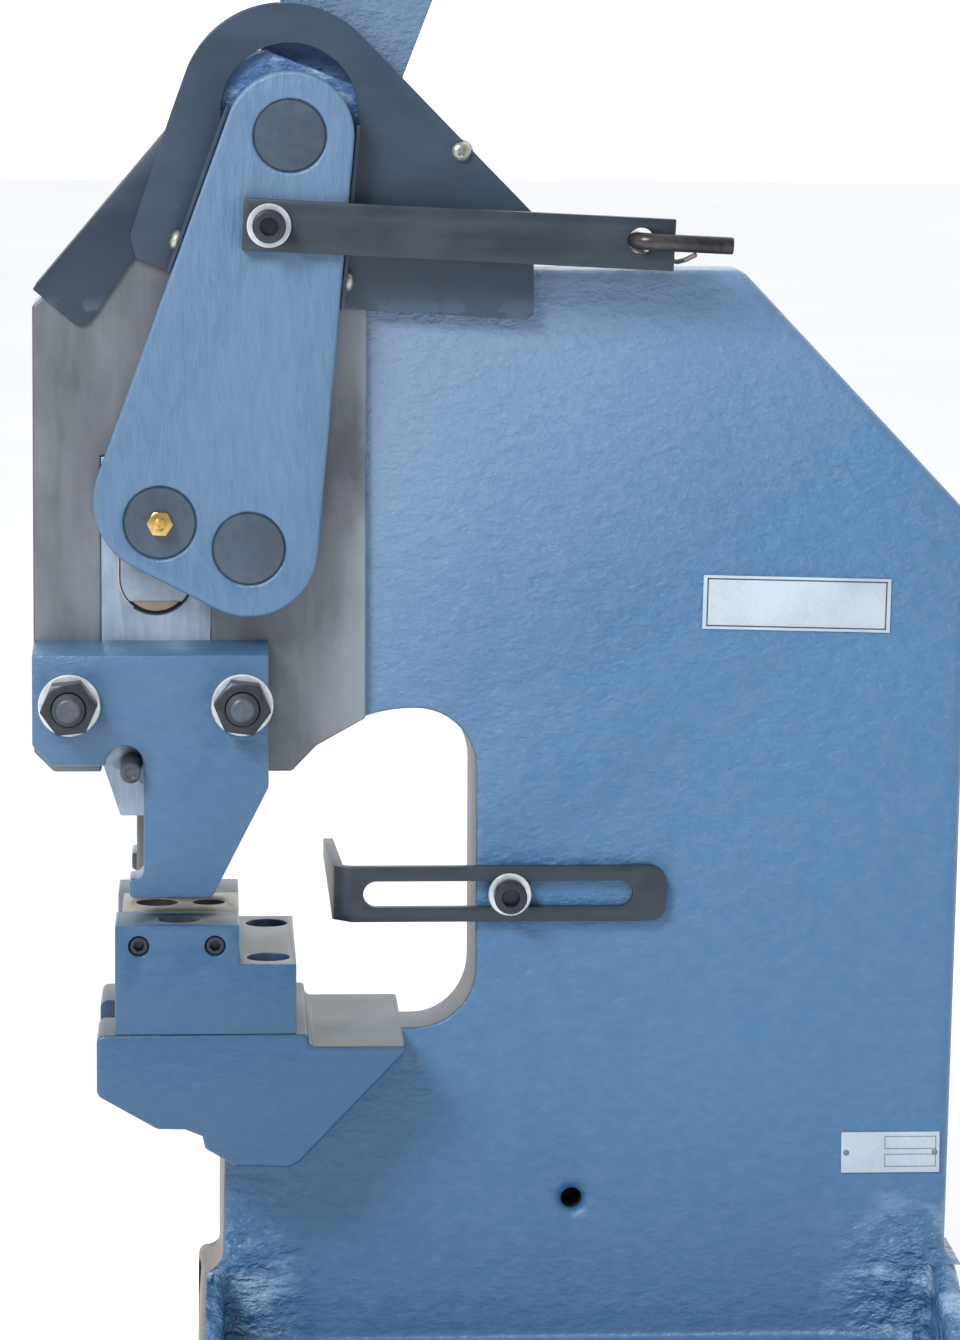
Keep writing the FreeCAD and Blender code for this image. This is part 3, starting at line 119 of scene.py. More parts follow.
class Shader:
    """A material's node tree with short calls for the nodes that the finishes share."""

    def __init__(self, name: str) -> None:
        """Starts an empty material.

        Args:
            name: The material's name.
        """
        self.material = bpy.data.materials.new(name)
        self.material.use_nodes = True
        self.tree = self.material.node_tree
        self.tree.nodes.clear()
        self.surface = self.tree.nodes.new("ShaderNodeBsdfPrincipled")
        output = self.tree.nodes.new("ShaderNodeOutputMaterial")
        self.link(self.surface.outputs["BSDF"], output.inputs["Surface"])
        self.place = self.tree.nodes.new("ShaderNodeTexCoord").outputs["Object"]

    def link(self, source: Socket, target: Socket) -> None:
        """Joins two sockets."""
        self.tree.links.new(source, target)

    def feed(self, target: Socket, value: object) -> None:
        """Gives a socket a link, a number or a colour.

        Args:
            target: The socket to set.
            value: A socket, a number, or three linear numbers.
        """
        if isinstance(value, Socket):
            self.link(value, target)
        elif isinstance(value, tuple):
            target.default_value = (*value, 1.0)
        else:
            target.default_value = value

    def noise(self, scale: float, detail: float = 3.0, stretch: Sequence[float] = (1, 1, 1),
              rough: float = 0.55) -> Socket:
        """Adds fractal noise on object coordinates.

        Args:
            scale: Cells per metre.
            detail: Octaves.
            stretch: How much finer the pattern is along X, Y and Z.
            rough: How strong the fine octaves are.

        Returns:
            The noise value's socket.
        """
        mapping = self.tree.nodes.new("ShaderNodeMapping")
        mapping.inputs["Scale"].default_value = tuple(stretch)
        self.link(self.place, mapping.inputs["Vector"])
        noise = self.tree.nodes.new("ShaderNodeTexNoise")
        noise.inputs["Scale"].default_value = scale
        noise.inputs["Detail"].default_value = detail
        noise.inputs["Roughness"].default_value = rough
        self.link(mapping.outputs["Vector"], noise.inputs["Vector"])
        return noise.outputs["Fac"]

    def spread(self, value: Socket, low: float, high: float, to_low: float = 0.0,
               to_high: float = 1.0) -> Socket:
        """Maps a range of a value onto another range, clamped.

        Args:
            value: The socket to map.
            low: The value that becomes to_low.
            high: The value that becomes to_high.
            to_low: The result's start.
            to_high: The result's end.

        Returns:
            The mapped socket.
        """
        node = self.tree.nodes.new("ShaderNodeMapRange")
        node.clamp = True
        set_range(node, (low, high), (to_low, to_high))
        self.link(value, node.inputs["Value"])
        return node.outputs["Result"]

    def blend(self, share: Socket, first: object, second: object) -> Socket:
        """Mixes two colours.

        Args:
            share: The second colour's share.
            first: A colour or its socket.
            second: A colour or its socket.

        Returns:
            The mixed colour's socket.
        """
        node = self.tree.nodes.new("ShaderNodeMix")
        node.data_type = "RGBA"
        self.link(share, node.inputs["Factor"])
        self.feed(node.inputs[6], first)
        self.feed(node.inputs[7], second)
        return node.outputs[2]

    def reckon(self, operation: str, first: object, second: object) -> Socket:
        """Does one sum on two values.

        Args:
            operation: The Math node's operation, such as MULTIPLY.
            first: A socket or a number.
            second: A socket or a number.

        Returns:
            The result's socket.
        """
        node = self.tree.nodes.new("ShaderNodeMath")
        node.operation = operation
        self.feed(node.inputs[0], first)
        self.feed(node.inputs[1], second)
        return node.outputs[0]

    def plus(self, first: object, second: object) -> Socket:
        """Adds two values."""
        return self.reckon("ADD", first, second)

    def times(self, first: object, second: object) -> Socket:
        """Multiplies two values."""
        return self.reckon("MULTIPLY", first, second)

    def along(self, axis: str) -> Socket:
        """Reads one object coordinate.

        Args:
            axis: X, Y or Z.

        Returns:
            The coordinate's socket.
        """
        node = self.tree.nodes.new("ShaderNodeSeparateXYZ")
        self.link(self.place, node.inputs[0])
        return node.outputs[axis]

    def bump(self, height: Socket, depth: float, strength: float = 1.0,
             under: Socket | None = None) -> Socket:
        """Adds a layer of relief.

        Args:
            height: The relief's height from 0 to 1.
            depth: The relief's full height in metres.
            strength: How much of the relief is used.
            under: The normal of the layer below.

        Returns:
            The normal's socket.
        """
        node = self.tree.nodes.new("ShaderNodeBump")
        node.inputs["Strength"].default_value = strength
        node.inputs["Distance"].default_value = depth
        self.link(height, node.inputs["Height"])
        if under is not None:
            self.link(under, node.inputs["Normal"])
        return node.outputs["Normal"]

    def close(self, colour: object, rough: object, metal: float, normal: Socket | None = None,
              coat: float = 0.0, coat_rough: float = 0.2) -> Material:
        """Connects the surface and gives the finished material.

        Args:
            colour: The base colour or its socket.
            rough: The roughness or its socket.
            metal: How metallic the surface is.
            normal: The normal's socket.
            coat: The clear coat's weight.
            coat_rough: The clear coat's roughness.

        Returns:
            The material.
        """
        self.feed(self.surface.inputs["Base Color"], colour)
        self.feed(self.surface.inputs["Roughness"], rough)
        self.surface.inputs["Metallic"].default_value = metal
        self.surface.inputs["Coat Weight"].default_value = coat
        self.surface.inputs["Coat Roughness"].default_value = coat_rough
        if normal is not None:
            self.link(normal, self.surface.inputs["Normal"])
            self.link(normal, self.surface.inputs["Coat Normal"])
        return self.material


# ------------------------------------------------------------------ finishes


@dataclass(frozen=True)
class CastPaint:
    """Glossy enamel brushed over rough cast or sawn metal.

    Args:
        name: The material's name.
        middle: The usual colour.
        dark: The colour low on the machine, where it is a painted shade, and in the thick coats.
        dust_and_sheen: The colour where the coat is scuffed or dusty, and of the painted sheen high up and at
            the front.
        dust_and_sheen_share: How much of the dust and painted sheen shows.
        lump: Height of the casting's unevenness.
        ridge: Height of the brush marks.
        brushed: How much finer the brush marks are along X, Y and Z.
        gloss: Roughness of the clear film.
        painted_glint_share: How much of the painted glints shows everywhere, besides on the pooled paint in
            the low corners.
        painted_glint: The colour of the painted glints.
        grease: X, Z and radius of a round place of painted shade, or a radius of 0 for none.
        painted_shade: The colour of that painted shade.
        painted_light_rise: Z from where the coat is dark to where it is pale: painted shade low down, painted
            light high up.
        reach: X from where the dust and painted sheen begin at the back to where they are full at the front.
        pool_top: Z from above the pooled paint to where it is full.
        pool_front: X from behind the pooled paint at the front to where it is full.
        pool_back: X from before the pooled paint at the back to where it is full.
        fade: Z from where the brush marks are faint to where they are full.
    """

    name: str
    middle: Colour = srgb(59, 112, 157)
    dark: Colour = srgb(52, 99, 140)
    dust_and_sheen: Colour = srgb(132, 152, 176)
    dust_and_sheen_share: float = 0.85
    lump: float = 4.5 * MM
    ridge: float = 4.6 * MM
    brushed: tuple[float, float, float] = (0.8, 1.0, 1.3)
    gloss: float = 0.24
    painted_glint_share: float = 0.0
    painted_glint: Colour = srgb(150, 178, 208)
    grease: tuple[float, float, float] = (0.0, 0.0, 0.0)
    painted_shade: Colour = srgb(22, 64, 112)
    painted_light_rise: Span = (0.06, 0.56)
    reach: Span = (0.16, -0.11)
    pool_top: Span = (0.11, 0.055)
    pool_front: Span = (-0.13, -0.165)
    pool_back: Span = (0.12, 0.17)
    fade: Span = (0.15, 0.5)

    def colour(self, shader: Shader, patches: Socket, marks: Socket, corners: Socket) -> Socket:
        """Mixes the coat's colour.

        Args:
            shader: The material's shader.
            patches: Wide, soft noise.
            marks: The brush marks.
            corners: The share of a place where the paint has pooled.

        Returns:
            The colour's socket.
        """
        # Paler high up and darker low down: painted light from above and painted shade below.
        height = shader.spread(shader.along("Z"), *self.painted_light_rise)
        # Towards the front the coat gets a painted sheen.
        front_sheen = shader.spread(shader.along("X"), *self.reach, 0.0, 0.55)
        level = shader.plus(shader.times(patches, 0.4), shader.times(height, 0.5))
        tone = shader.blend(shader.spread(level, 0.18, 0.62), self.dark, self.middle)
        # The painted sheen high up and at the front, mixed with random scuffs and dust.
        sheen_and_wear = shader.plus(shader.plus(height, front_sheen), shader.times(patches, 0.5))
        sheen_and_wear = shader.plus(sheen_and_wear, shader.times(marks, 0.15))
        tone = shader.blend(shader.spread(sheen_and_wear, 1.2, 1.95, 0.0, self.dust_and_sheen_share), tone, self.dust_and_sheen)
        # Painted highlights on the ridges of the brush marks.
        tone = shader.blend(shader.spread(marks, 0.42, 0.72, 0.0, 0.12), tone, self.dust_and_sheen)
        # Painted glints on the pooled paint in the low corners, and everywhere as far as painted_glint_share
        # says.
        glints = shader.spread(shader.noise(48.0, 7.0, (0.6, 1.0, 1.3), 0.66), 0.52, 0.62, 0.0, 0.7)
        where = shader.reckon("MAXIMUM", corners, self.painted_glint_share)
        tone = shader.blend(shader.times(glints, where), tone, self.painted_glint)
        # A round place of painted shade, such as the guard's shadow on the lever arm.
        x, z, radius = self.grease
        if not radius:
            return tone
        over = shader.reckon("SUBTRACT", shader.along("X"), x)
        above = shader.reckon("SUBTRACT", shader.along("Z"), z)
        gap = shader.plus(shader.times(over, over), shader.times(above, above))
        edge = radius ** 2
        return shader.blend(shader.spread(gap, edge, edge * 0.8, 0.0, 0.9), tone, self.painted_shade)

    def material(self) -> Material:
        """Builds the paint's node tree.

        Returns:
            The finished material.
        """
        shader = Shader(self.name)
        patches = shader.noise(5.0, 2.0, (1.0, 1.0, 0.7))
        marks = shader.noise(170.0, 6.0, self.brushed, 0.62)
        low = shader.spread(shader.along("Z"), *self.pool_top)
        ends = shader.reckon("MAXIMUM", shader.spread(shader.along("X"), *self.pool_front),
                             shader.spread(shader.along("X"), *self.pool_back))
        corners = shader.times(low, ends)
        relief = shader.bump(shader.noise(26.0, 3.0), self.lump, 0.4)
        pooled = shader.times(shader.noise(70.0, 4.0, (0.8, 1.0, 1.3)), corners)
        relief = shader.bump(pooled, self.lump * 3.5, 0.9, relief)
        rising = shader.spread(shader.along("Z"), *self.fade, 0.3, 1.0)
        relief = shader.bump(shader.times(marks, rising), self.ridge, 0.75, relief)
        tone = self.colour(shader, patches, marks, corners)
        return shader.close(tone, shader.spread(marks, 0.35, 0.7, 0.34, 0.48), 0.0, relief, 0.4, self.gloss)


@dataclass(frozen=True)
class BareIron:
    """Milled cast iron with faint marks, oil clouds and rust at the paint's edge.

    Args:
        name: The material's name.
        light: The colour of the clean metal.
        dark: The colour of the stained metal.
        rust: The colour where the paint ends.
        edge_x: Where the paint begins.
        edge_width: How far before it the rust begins.
        metal: How metallic it looks.
    """

    name: str
    light: Colour = srgb(115, 121, 128)
    dark: Colour = srgb(90, 95, 101)
    rust: Colour = srgb(134, 142, 150)
    edge_x: float = -0.1062
    edge_width: float = 30 * MM
    metal: float = 0.45

    def material(self) -> Material:
        """Builds the bare metal's node tree.

        Returns:
            The finished material.
        """
        shader = Shader(self.name)
        marks = shader.noise(42.0, 6.0, (5.0, 5.0, 0.7), 0.6)
        clouds = shader.noise(13.0, 5.0, (1.5, 1.5, 0.7), 0.55)
        speckle = shader.noise(160.0, 4.0, (1.0, 1.0, 0.6), 0.6)
        mixed = shader.plus(shader.times(marks, 0.2), shader.times(clouds, 0.8))
        tone = shader.blend(shader.spread(mixed, 0.4, 0.6), self.dark, self.light)
        tone = shader.blend(shader.spread(speckle, 0.55, 0.75, 0.0, 0.35), tone, self.dark)
        edge = shader.spread(shader.along("X"), self.edge_x - self.edge_width, self.edge_x)
        stain = shader.times(edge, shader.spread(clouds, 0.36, 0.56))
        tone = shader.blend(stain, tone, self.rust)
        smear = shader.times(edge, shader.spread(speckle, 0.6, 0.7, 0.0, 0.6))
        tone = shader.blend(smear, tone, self.light)
        relief = shader.bump(shader.noise(420.0, 2.0, (1.0, 1.0, 0.12)), 0.03 * MM, 0.4)
        return shader.close(tone, shader.spread(clouds, 0.3, 0.7, 0.36, 0.52), self.metal, relief)


@dataclass(frozen=True)
class Metal:
    """Metal with fine machining marks and light stains.

    Args:
        name: The material's name.
        light: The clean colour.
        dark: The stained colour.
        rough: Middle roughness.
        metal: How metallic it is.
        marks: How much finer the marks run along X, Y and Z.
        scale: Cells of the marks per metre.
        relief: Height of the marks.
        coat: Weight of the oil film.
    """

    name: str
    light: Colour
    dark: Colour
    rough: float = 0.35
    metal: float = 0.9
    marks: tuple[float, float, float] = (1.0, 1.0, 1.0)
    scale: float = 240.0
    relief: float = 0.03 * MM
    coat: float = 0.0

    def material(self) -> Material:
        """Builds the metal's node tree.

        Returns:
            The finished material.
        """
        shader = Shader(self.name)
        marks = shader.noise(self.scale, 4.0, self.marks, 0.6)
        clouds = shader.noise(34.0, 4.0)
        mixed = shader.plus(shader.times(marks, 0.4), shader.times(clouds, 0.6))
        tone = shader.blend(shader.spread(mixed, 0.38, 0.62), self.dark, self.light)
        normal = shader.bump(marks, self.relief, 0.6)
        rough = shader.spread(clouds, 0.3, 0.7, self.rough - 0.07, self.rough + 0.09)
        return shader.close(tone, rough, self.metal, normal, self.coat, 0.15)


@dataclass(frozen=True)
class SheetPaint:
    """Satin charcoal coating with dust, wipe marks and fine grain.

    Args:
        name: The material's name.
        light: The dusty colour.
        dark: The clean colour.
        dust: The colour of dried spots.
        dried: Z from above the dried spots to where they are full.
    """

    name: str
    light: Colour = srgb(46, 65, 85)
    dark: Colour = srgb(37, 54, 72)
    dust: Colour = srgb(72, 92, 112)
    dried: Span = (0.545, 0.538)

    def material(self) -> Material:
        """Builds the coating's node tree.

        Returns:
            The finished material.
        """
        shader = Shader(self.name)
        wipes = shader.noise(18.0, 5.0, (1.0, 1.0, 2.2))
        spots = shader.noise(60.0, 3.0)
        tone = shader.blend(shader.spread(wipes, 0.36, 0.66), self.dark, self.light)
        dust = shader.spread(spots, 0.66, 0.7, 0.0, 0.35)
        dried = shader.times(shader.spread(shader.noise(46.0, 4.0), 0.53, 0.55, 0.0, 0.5),
                             shader.spread(shader.along("Z"), *self.dried))
        tone = shader.blend(shader.reckon("MAXIMUM", dust, dried), tone, self.dust)
        normal = shader.bump(shader.noise(900.0, 2.0), 0.03 * MM, 0.5)
        return shader.close(tone, shader.spread(wipes, 0.3, 0.7, 0.34, 0.48), 0.1, normal, 0.15, 0.3)


@dataclass(frozen=True)
class Rubber:
    """Moulded black rubber.

    Args:
        name: The material's name.
        colour: The rubber's colour.
        dust: The colour of the dust on it.
    """

    name: str
    colour: Colour = srgb(34, 34, 36)
    dust: Colour = srgb(62, 61, 60)

    def material(self) -> Material:
        """Builds the rubber's node tree.

        Returns:
            The finished material.
        """
        shader = Shader(self.name)
        dust = shader.noise(50.0, 4.0)
        tone = shader.blend(shader.spread(dust, 0.4, 0.75), self.colour, self.dust)
        normal = shader.bump(shader.noise(1400.0, 2.0), 0.04 * MM, 0.6)
        return shader.close(tone, shader.spread(dust, 0.3, 0.7, 0.55, 0.75), 0.0, normal)


class Finishes:
    """Every finish of the machine, made once."""

    def __init__(self) -> None:
        """Builds the materials."""
        self.paints()
        self.bare_metal()
        self.small_parts()
        self.labels_and_handle()

    def paints(self) -> None:
        """Builds the blue enamels, the primer and the charcoal coatings."""
        self.blue = CastPaint("blue_enamel").material()
        self.blue_plate = CastPaint(
            "blue_enamel_on_plate", middle=srgb(48, 92, 130), dark=srgb(41, 83, 122), dust_and_sheen_share=0.28,
            lump=2.2 * MM, ridge=1.8 * MM, brushed=(1.5, 1.0, 0.35), gloss=0.22).material()
        # A darker copy of the blue for the table and the die holder: painted shade low on the machine, where
        # less light falls.
        self.blue_shaded_low = CastPaint(
            "blue_enamel_shaded_on_table", middle=srgb(41, 86, 124), dark=srgb(34, 78, 116),
            dust_and_sheen=srgb(92, 118, 146), dust_and_sheen_share=0.3, lump=3.0 * MM, ridge=1.6 * MM).material()
        self.blue_bracket = CastPaint(
            "blue_enamel_on_bracket", middle=srgb(46, 91, 130), dark=srgb(40, 83, 121),
            dust_and_sheen=srgb(104, 130, 156), dust_and_sheen_share=0.35, lump=2.2 * MM, ridge=1.6 * MM).material()
        # The hub's blue has painted glints all over.
        self.blue_hub = CastPaint(
            "blue_enamel_on_hub", middle=srgb(40, 92, 146), dark=srgb(24, 66, 118),
            dust_and_sheen=srgb(120, 146, 174), dust_and_sheen_share=0.1, lump=14.0 * MM, ridge=4.0 * MM, gloss=0.12,
            painted_glint_share=1.0, painted_glint=srgb(186, 212, 240)).material()
        # The arm's blue has a round painted shade near the lever pin, where the guard's shadow falls.
        self.blue_arm = CastPaint(
            "blue_enamel_on_arm", middle=srgb(54, 96, 134), dark=srgb(47, 88, 126), dust_and_sheen_share=0.35,
            lump=5.0 * MM, ridge=5.0 * MM, grease=(-0.14368, 0.62273, 0.056)).material()
        self.deep_blue = CastPaint(
            "blue_enamel_in_holes", middle=srgb(54, 80, 112), dark=srgb(42, 64, 92),
            dust_and_sheen=srgb(66, 92, 124), dust_and_sheen_share=0.2, lump=0.2 * MM, ridge=0.2 * MM).material()
        self.primer = Metal("primer_line", srgb(112, 74, 76), srgb(78, 62, 74), 0.5, 0.0).material()
        self.charcoal = SheetPaint("charcoal_coating").material()
        self.cover = SheetPaint(
            "charcoal_coating_on_cover", light=srgb(28, 46, 66), dark=srgb(22, 38, 56)).material()

    def bare_metal(self) -> None:
        """Builds the finishes of the castings' bare faces, the holder's tops, the ram and the tools."""
        self.head = BareIron("milled_head").material()
        self.table = BareIron("worn_table", srgb(74, 90, 101), srgb(56, 69, 79), srgb(68, 82, 92),
                              edge_x=-0.09, metal=0.1).material()
        # The throat's edges are grey: partly a painted reflection of the pale room on the glossy blue at a
        # grazing angle, partly their own grey.
        self.wall = BareIron("painted_edge", srgb(92, 95, 96), srgb(82, 85, 87), srgb(86, 88, 88),
                             edge_x=-0.02, metal=0.0).material()
        self.foot = BareIron("bare_foot_edge", srgb(112, 112, 110), srgb(84, 88, 94), srgb(118, 108, 98),
                             edge_x=-0.185, metal=0.0).material()
        self.grey_top = BareIron("grey_holder_top", srgb(122, 127, 128), srgb(104, 110, 112),
                                 srgb(112, 108, 102), edge_x=-0.13, metal=0.1).material()
        self.blue_top = BareIron("scuffed_holder_top", srgb(80, 98, 114), srgb(60, 78, 96),
                                 srgb(98, 108, 114), edge_x=-0.169, metal=0.1).material()
        self.ram = Metal("ground_ram", srgb(154, 168, 186), srgb(126, 142, 160), 0.36, 0.4,
                         (1.0, 1.0, 0.12), 320.0).material()
        self.block = Metal("ground_block", srgb(142, 154, 168), srgb(124, 135, 150), 0.38, 0.4).material()
        self.pad = Metal("worn_pad", srgb(142, 132, 116), srgb(120, 110, 96), 0.42, 0.3).material()
        # A painted highlight for the lit left part of the ram's window wall.
        self.rim = Metal("bright_rim", srgb(214, 212, 208), srgb(176, 172, 168), 0.25, 0.8).material()
        # Bare steel, darkened as painted shade, for the brackets' inner sides and the punch.
        self.shaded_bare_steel = Metal("bare_steel_in_painted_shade", srgb(100, 103, 102), srgb(74, 79, 82), 0.5,
                                0.3).material()
        self.tool = Metal("tool_steel", srgb(150, 146, 140), srgb(104, 100, 96), 0.38, 0.6).material()
        self.insert = Metal("die_steel", srgb(172, 164, 152), srgb(134, 126, 116), 0.4, 0.35).material()
        self.bronze = Metal("bronze", srgb(166, 140, 108), srgb(128, 104, 78), 0.42, 0.6).material()

    def small_parts(self) -> None:
        """Builds the finishes of the pins, the screws and the strips."""
        self.black = Metal("black_oxide", srgb(57, 62, 71), srgb(37, 41, 47), 0.34, 0.5).material()
        self.bolt = Metal("worn_bolt", srgb(90, 98, 110), srgb(62, 70, 80), 0.34, 0.55).material()
        self.screw = Metal("worn_screw", srgb(98, 102, 106), srgb(66, 72, 80), 0.38, 0.5).material()
        # A dark finish used as painted shade in holes, gaps and chamfers.
        self.bore = Metal("shaded_bore", srgb(54, 57, 64), srgb(42, 45, 50), 0.6, 0.1).material()
        self.bar = Metal("black_bar", srgb(53, 63, 74), srgb(42, 51, 61), 0.42, 0.3,
                         (0.1, 1.0, 1.0), 300.0).material()
        self.tab = Metal("worn_tab", srgb(112, 110, 104), srgb(78, 80, 80), 0.42, 0.4).material()
        self.pin = Metal("dark_pin", srgb(74, 87, 103), srgb(60, 73, 88), 0.4, 0.35, coat=0.1).material()
        self.zinc = Metal("bright_zinc", srgb(226, 230, 234), srgb(184, 190, 196), 0.26, 0.6).material()
        self.yellow_zinc = Metal("yellow_zinc", srgb(182, 184, 172), srgb(128, 132, 126), 0.3, 0.8).material()
        self.brass = Metal("brass", srgb(226, 196, 128), srgb(172, 138, 76), 0.28, 0.9).material()
        self.linch = Metal("linch_pin", srgb(84, 82, 84), srgb(46, 44, 45), 0.3, 0.7).material()
        self.wire = Metal("spring_wire", srgb(136, 132, 126), srgb(92, 88, 84), 0.35, 0.7).material()

    def labels_and_handle(self) -> None:
        """Builds the finishes of the plates, their print, the tube and the grip."""
        self.silver = Metal("silver_plate", srgb(182, 196, 208), srgb(166, 180, 192), 0.5, 0.1,
                            scale=700.0).material()
        self.ink = Metal("dark_ink", srgb(64, 74, 90), srgb(52, 60, 74), 0.5, 0.0).material()
        self.pale_ink = Metal("pale_ink", srgb(110, 120, 134), srgb(96, 106, 120), 0.5, 0.0).material()
        self.rubber = Rubber("grip_rubber").material()
        self.tube = Metal("plated_tube", srgb(206, 208, 210), srgb(166, 170, 174), 0.27, 0.9,
                          (1.0, 1.0, 0.3), 260.0).material()


# ------------------------------------------------------------------ modelling helpers


def only(piece: Piece) -> None:
    """Makes one object the selected and active one.

    Args:
        piece: The mesh object.
    """
    bpy.ops.object.select_all(action="DESELECT")
    piece.select_set(True)
    bpy.context.view_layer.objects.active = piece


@contextmanager
def editing(piece: Piece, mode: str = "FACE") -> Iterator[None]:
    """Opens a piece in edit mode, and leaves it again.

    Args:
        piece: The mesh object.
        mode: VERT, EDGE or FACE.

    Yields:
        Nothing, while the piece is in edit mode.
    """
    only(piece)
    bpy.ops.object.mode_set(mode="EDIT")
    bpy.ops.mesh.select_mode(type=mode)
    yield
    bpy.ops.object.mode_set(mode="OBJECT")


def settle(piece: Piece) -> None:
    """Puts a piece's place into its mesh, so that its object sits at the origin."""
    only(piece)
    bpy.ops.object.transform_apply(location=True, rotation=True, scale=True)


def modify(piece: Piece, kind: str, **values: object) -> None:
    """Adds a modifier, sets it and applies it.

    Args:
        piece: The mesh object.
        kind: The modifier's type.
        **values: The modifier's settings.
    """
    only(piece)
    bpy.ops.object.modifier_add(type=kind)
    modifier = piece.modifiers[-1]
    for name, value in values.items():
        setattr(modifier, name, value)
    bpy.ops.object.modifier_apply(modifier=modifier.name)


def smooth(piece: Piece, degrees: float = 32.0) -> None:
    """Shades a piece smooth, with sharp edges above an angle."""
    only(piece)
    bpy.ops.object.shade_smooth_by_angle(angle=math.radians(degrees))


def cast_copy(node: str, name: str) -> Piece:
    """Copies a CAD node's mesh, merges its loose triangles and clears its flat edges.

    Args:
        node: The CAD node.
        name: The new piece's name.

    Returns:
        The new object.
    """
    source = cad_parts[node]
    piece = bpy.data.objects.new(name, source.data.copy())
    bpy.context.scene.collection.objects.link(piece)
    piece.data.materials.clear()
    with editing(piece, "VERT"):
        bpy.ops.mesh.select_all(action="SELECT")
        bpy.ops.mesh.remove_doubles(threshold=2e-6)
        bpy.ops.mesh.customdata_custom_splitnormals_clear()
        bpy.ops.mesh.dissolve_limited(angle_limit=math.radians(0.6))
    return piece


def coat(piece: Piece, *materials: Material) -> None:
    """Gives a piece its materials, in slot order.

    Args:
        piece: The mesh object.
        *materials: Its materials, the first one for every face.
    """
    piece.data.materials.clear()
    for material in materials:
        piece.data.materials.append(material)


def paint(piece: Piece, slot: int, test: FaceTest) -> None:
    """Gives the faces that pass a test one of the piece's material slots.

    Args:
        piece: The mesh object.
        slot: The slot's number.
        test: Gets a face's centre and normal.
    """
    for face in piece.data.polygons:
        if test(face.center, face.normal):
            face.material_index = slot


def mount(piece: Piece, body: Body, slot: str, *nodes: str) -> None:
    """Settles a finished piece, lets it ride on its body and stand for its CAD nodes.

    Args:
        piece: The finished object.
        body: The body that it moves with.
        slot: The record's material slot; not used.
        *nodes: The CAD nodes that it replaces.
    """
    settle(piece)
    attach(piece, body.value)
    if nodes:
        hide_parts(*nodes)
    LOG.info("%s: %d faces on %s", piece.name, len(piece.data.polygons), body.value)


def finish(piece: Piece, material: Material, body: Body, slot: str, *nodes: str) -> None:
    """Gives a finished piece its material, and mounts it.

    Args:
        piece: The finished object.
        material: Its finish.
        body: The body that it moves with.
        slot: The record's material slot.
        *nodes: The CAD nodes that it replaces.
    """
    coat(piece, material)
    mount(piece, body, slot, *nodes)


def cut_away(piece: Piece, tool: Piece, operation: str = "DIFFERENCE") -> None:
    """Cuts a tool's shape from a piece, and removes the tool.

    Args:
        piece: The mesh object.
        tool: The mesh object that cuts.
        operation: DIFFERENCE, INTERSECT or UNION.
    """
    modify(piece, "BOOLEAN", object=tool, operation=operation, solver="EXACT")
    bpy.data.objects.remove(tool, do_unlink=True)


def join(pieces: Sequence[Piece], name: str) -> Piece:
    """Joins meshes into one object, in their order.

    Args:
        pieces: The objects to join.
        name: The name of the result.

    Returns:
        The joined object.
    """
    bpy.ops.object.select_all(action="DESELECT")
    for piece in pieces:
        piece.select_set(True)
    bpy.context.view_layer.objects.active = pieces[0]
    if len(pieces) > 1:
        bpy.ops.object.join()
    pieces[0].name = name
    return pieces[0]


def prism(name: str, corners: int, radius: float, length: float, start: Vector, along: Vector,
          turn: float = 0.0) -> Piece:
    """Adds a prism or round bar that runs from a start point.

    Args:
        name: The object's name.
        corners: The number of sides.
        radius: The radius to its corners.
        length: Its length.
        start: The middle of its first end.
        along: Its direction.
        turn: Degrees that it is turned about its own axis.

    Returns:
        The new object, with its place in its mesh.
    """
    bpy.ops.object.select_all(action="DESELECT")
    bpy.ops.mesh.primitive_cylinder_add(vertices=corners, radius=radius, depth=length)
    piece = bpy.context.object
    piece.name = name
    middle = start + along.normalized() * length / 2
    piece.matrix_world = (Matrix.Translation(middle) @ along.to_track_quat("Z", "Y").to_matrix().to_4x4()
                          @ Matrix.Rotation(math.radians(turn), 4, "Z"))
    settle(piece)
    return piece


def turned(name: str, profile: Sequence[tuple[float, float]], start: Vector, along: Vector,
           steps: int = 64) -> Piece:
    """Turns a profile about an axis, as on a lathe.

    Args:
        name: The object's name.
        profile: Points of (distance along the axis, radius), from one end to the other.
        start: The axis's zero point.
        along: The axis's direction.
        steps: Faces round the axis.

    Returns:
        The new object, with its place in its mesh.
    """
    bpy.ops.object.select_all(action="DESELECT")
    bpy.ops.mesh.primitive_plane_add(size=1.0)
    piece = bpy.context.object
    piece.name = name
    with editing(piece, "VERT"):
        bpy.ops.mesh.select_all(action="SELECT")
        bpy.ops.mesh.merge(type="CENTER")
        first = Vector((profile[0][1], 0.0, profile[0][0]))
        bpy.ops.transform.translate(value=first)
        for (old_z, old_r), (new_z, new_r) in zip(profile, profile[1:]):
            bpy.ops.mesh.extrude_region_move(
                TRANSFORM_OT_translate={"value": (new_r - old_r, 0.0, new_z - old_z)})
        bpy.ops.mesh.select_all(action="SELECT")
        bpy.ops.mesh.spin(steps=steps, angle=math.tau, center=(0, 0, 0), axis=(0, 0, 1))
        bpy.ops.mesh.select_all(action="SELECT")
        bpy.ops.mesh.remove_doubles(threshold=1e-6)
        bpy.ops.mesh.normals_make_consistent(inside=False)
    piece.matrix_world = Matrix.Translation(start) @ along.to_track_quat("Z", "Y").to_matrix().to_4x4()
    settle(piece)
    smooth(piece)
    return piece


def box_middle(node: str) -> Vector:
    """The middle of a CAD node's box at rest."""
    low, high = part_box(node)
    return (Vector(low) + Vector(high)) / 2


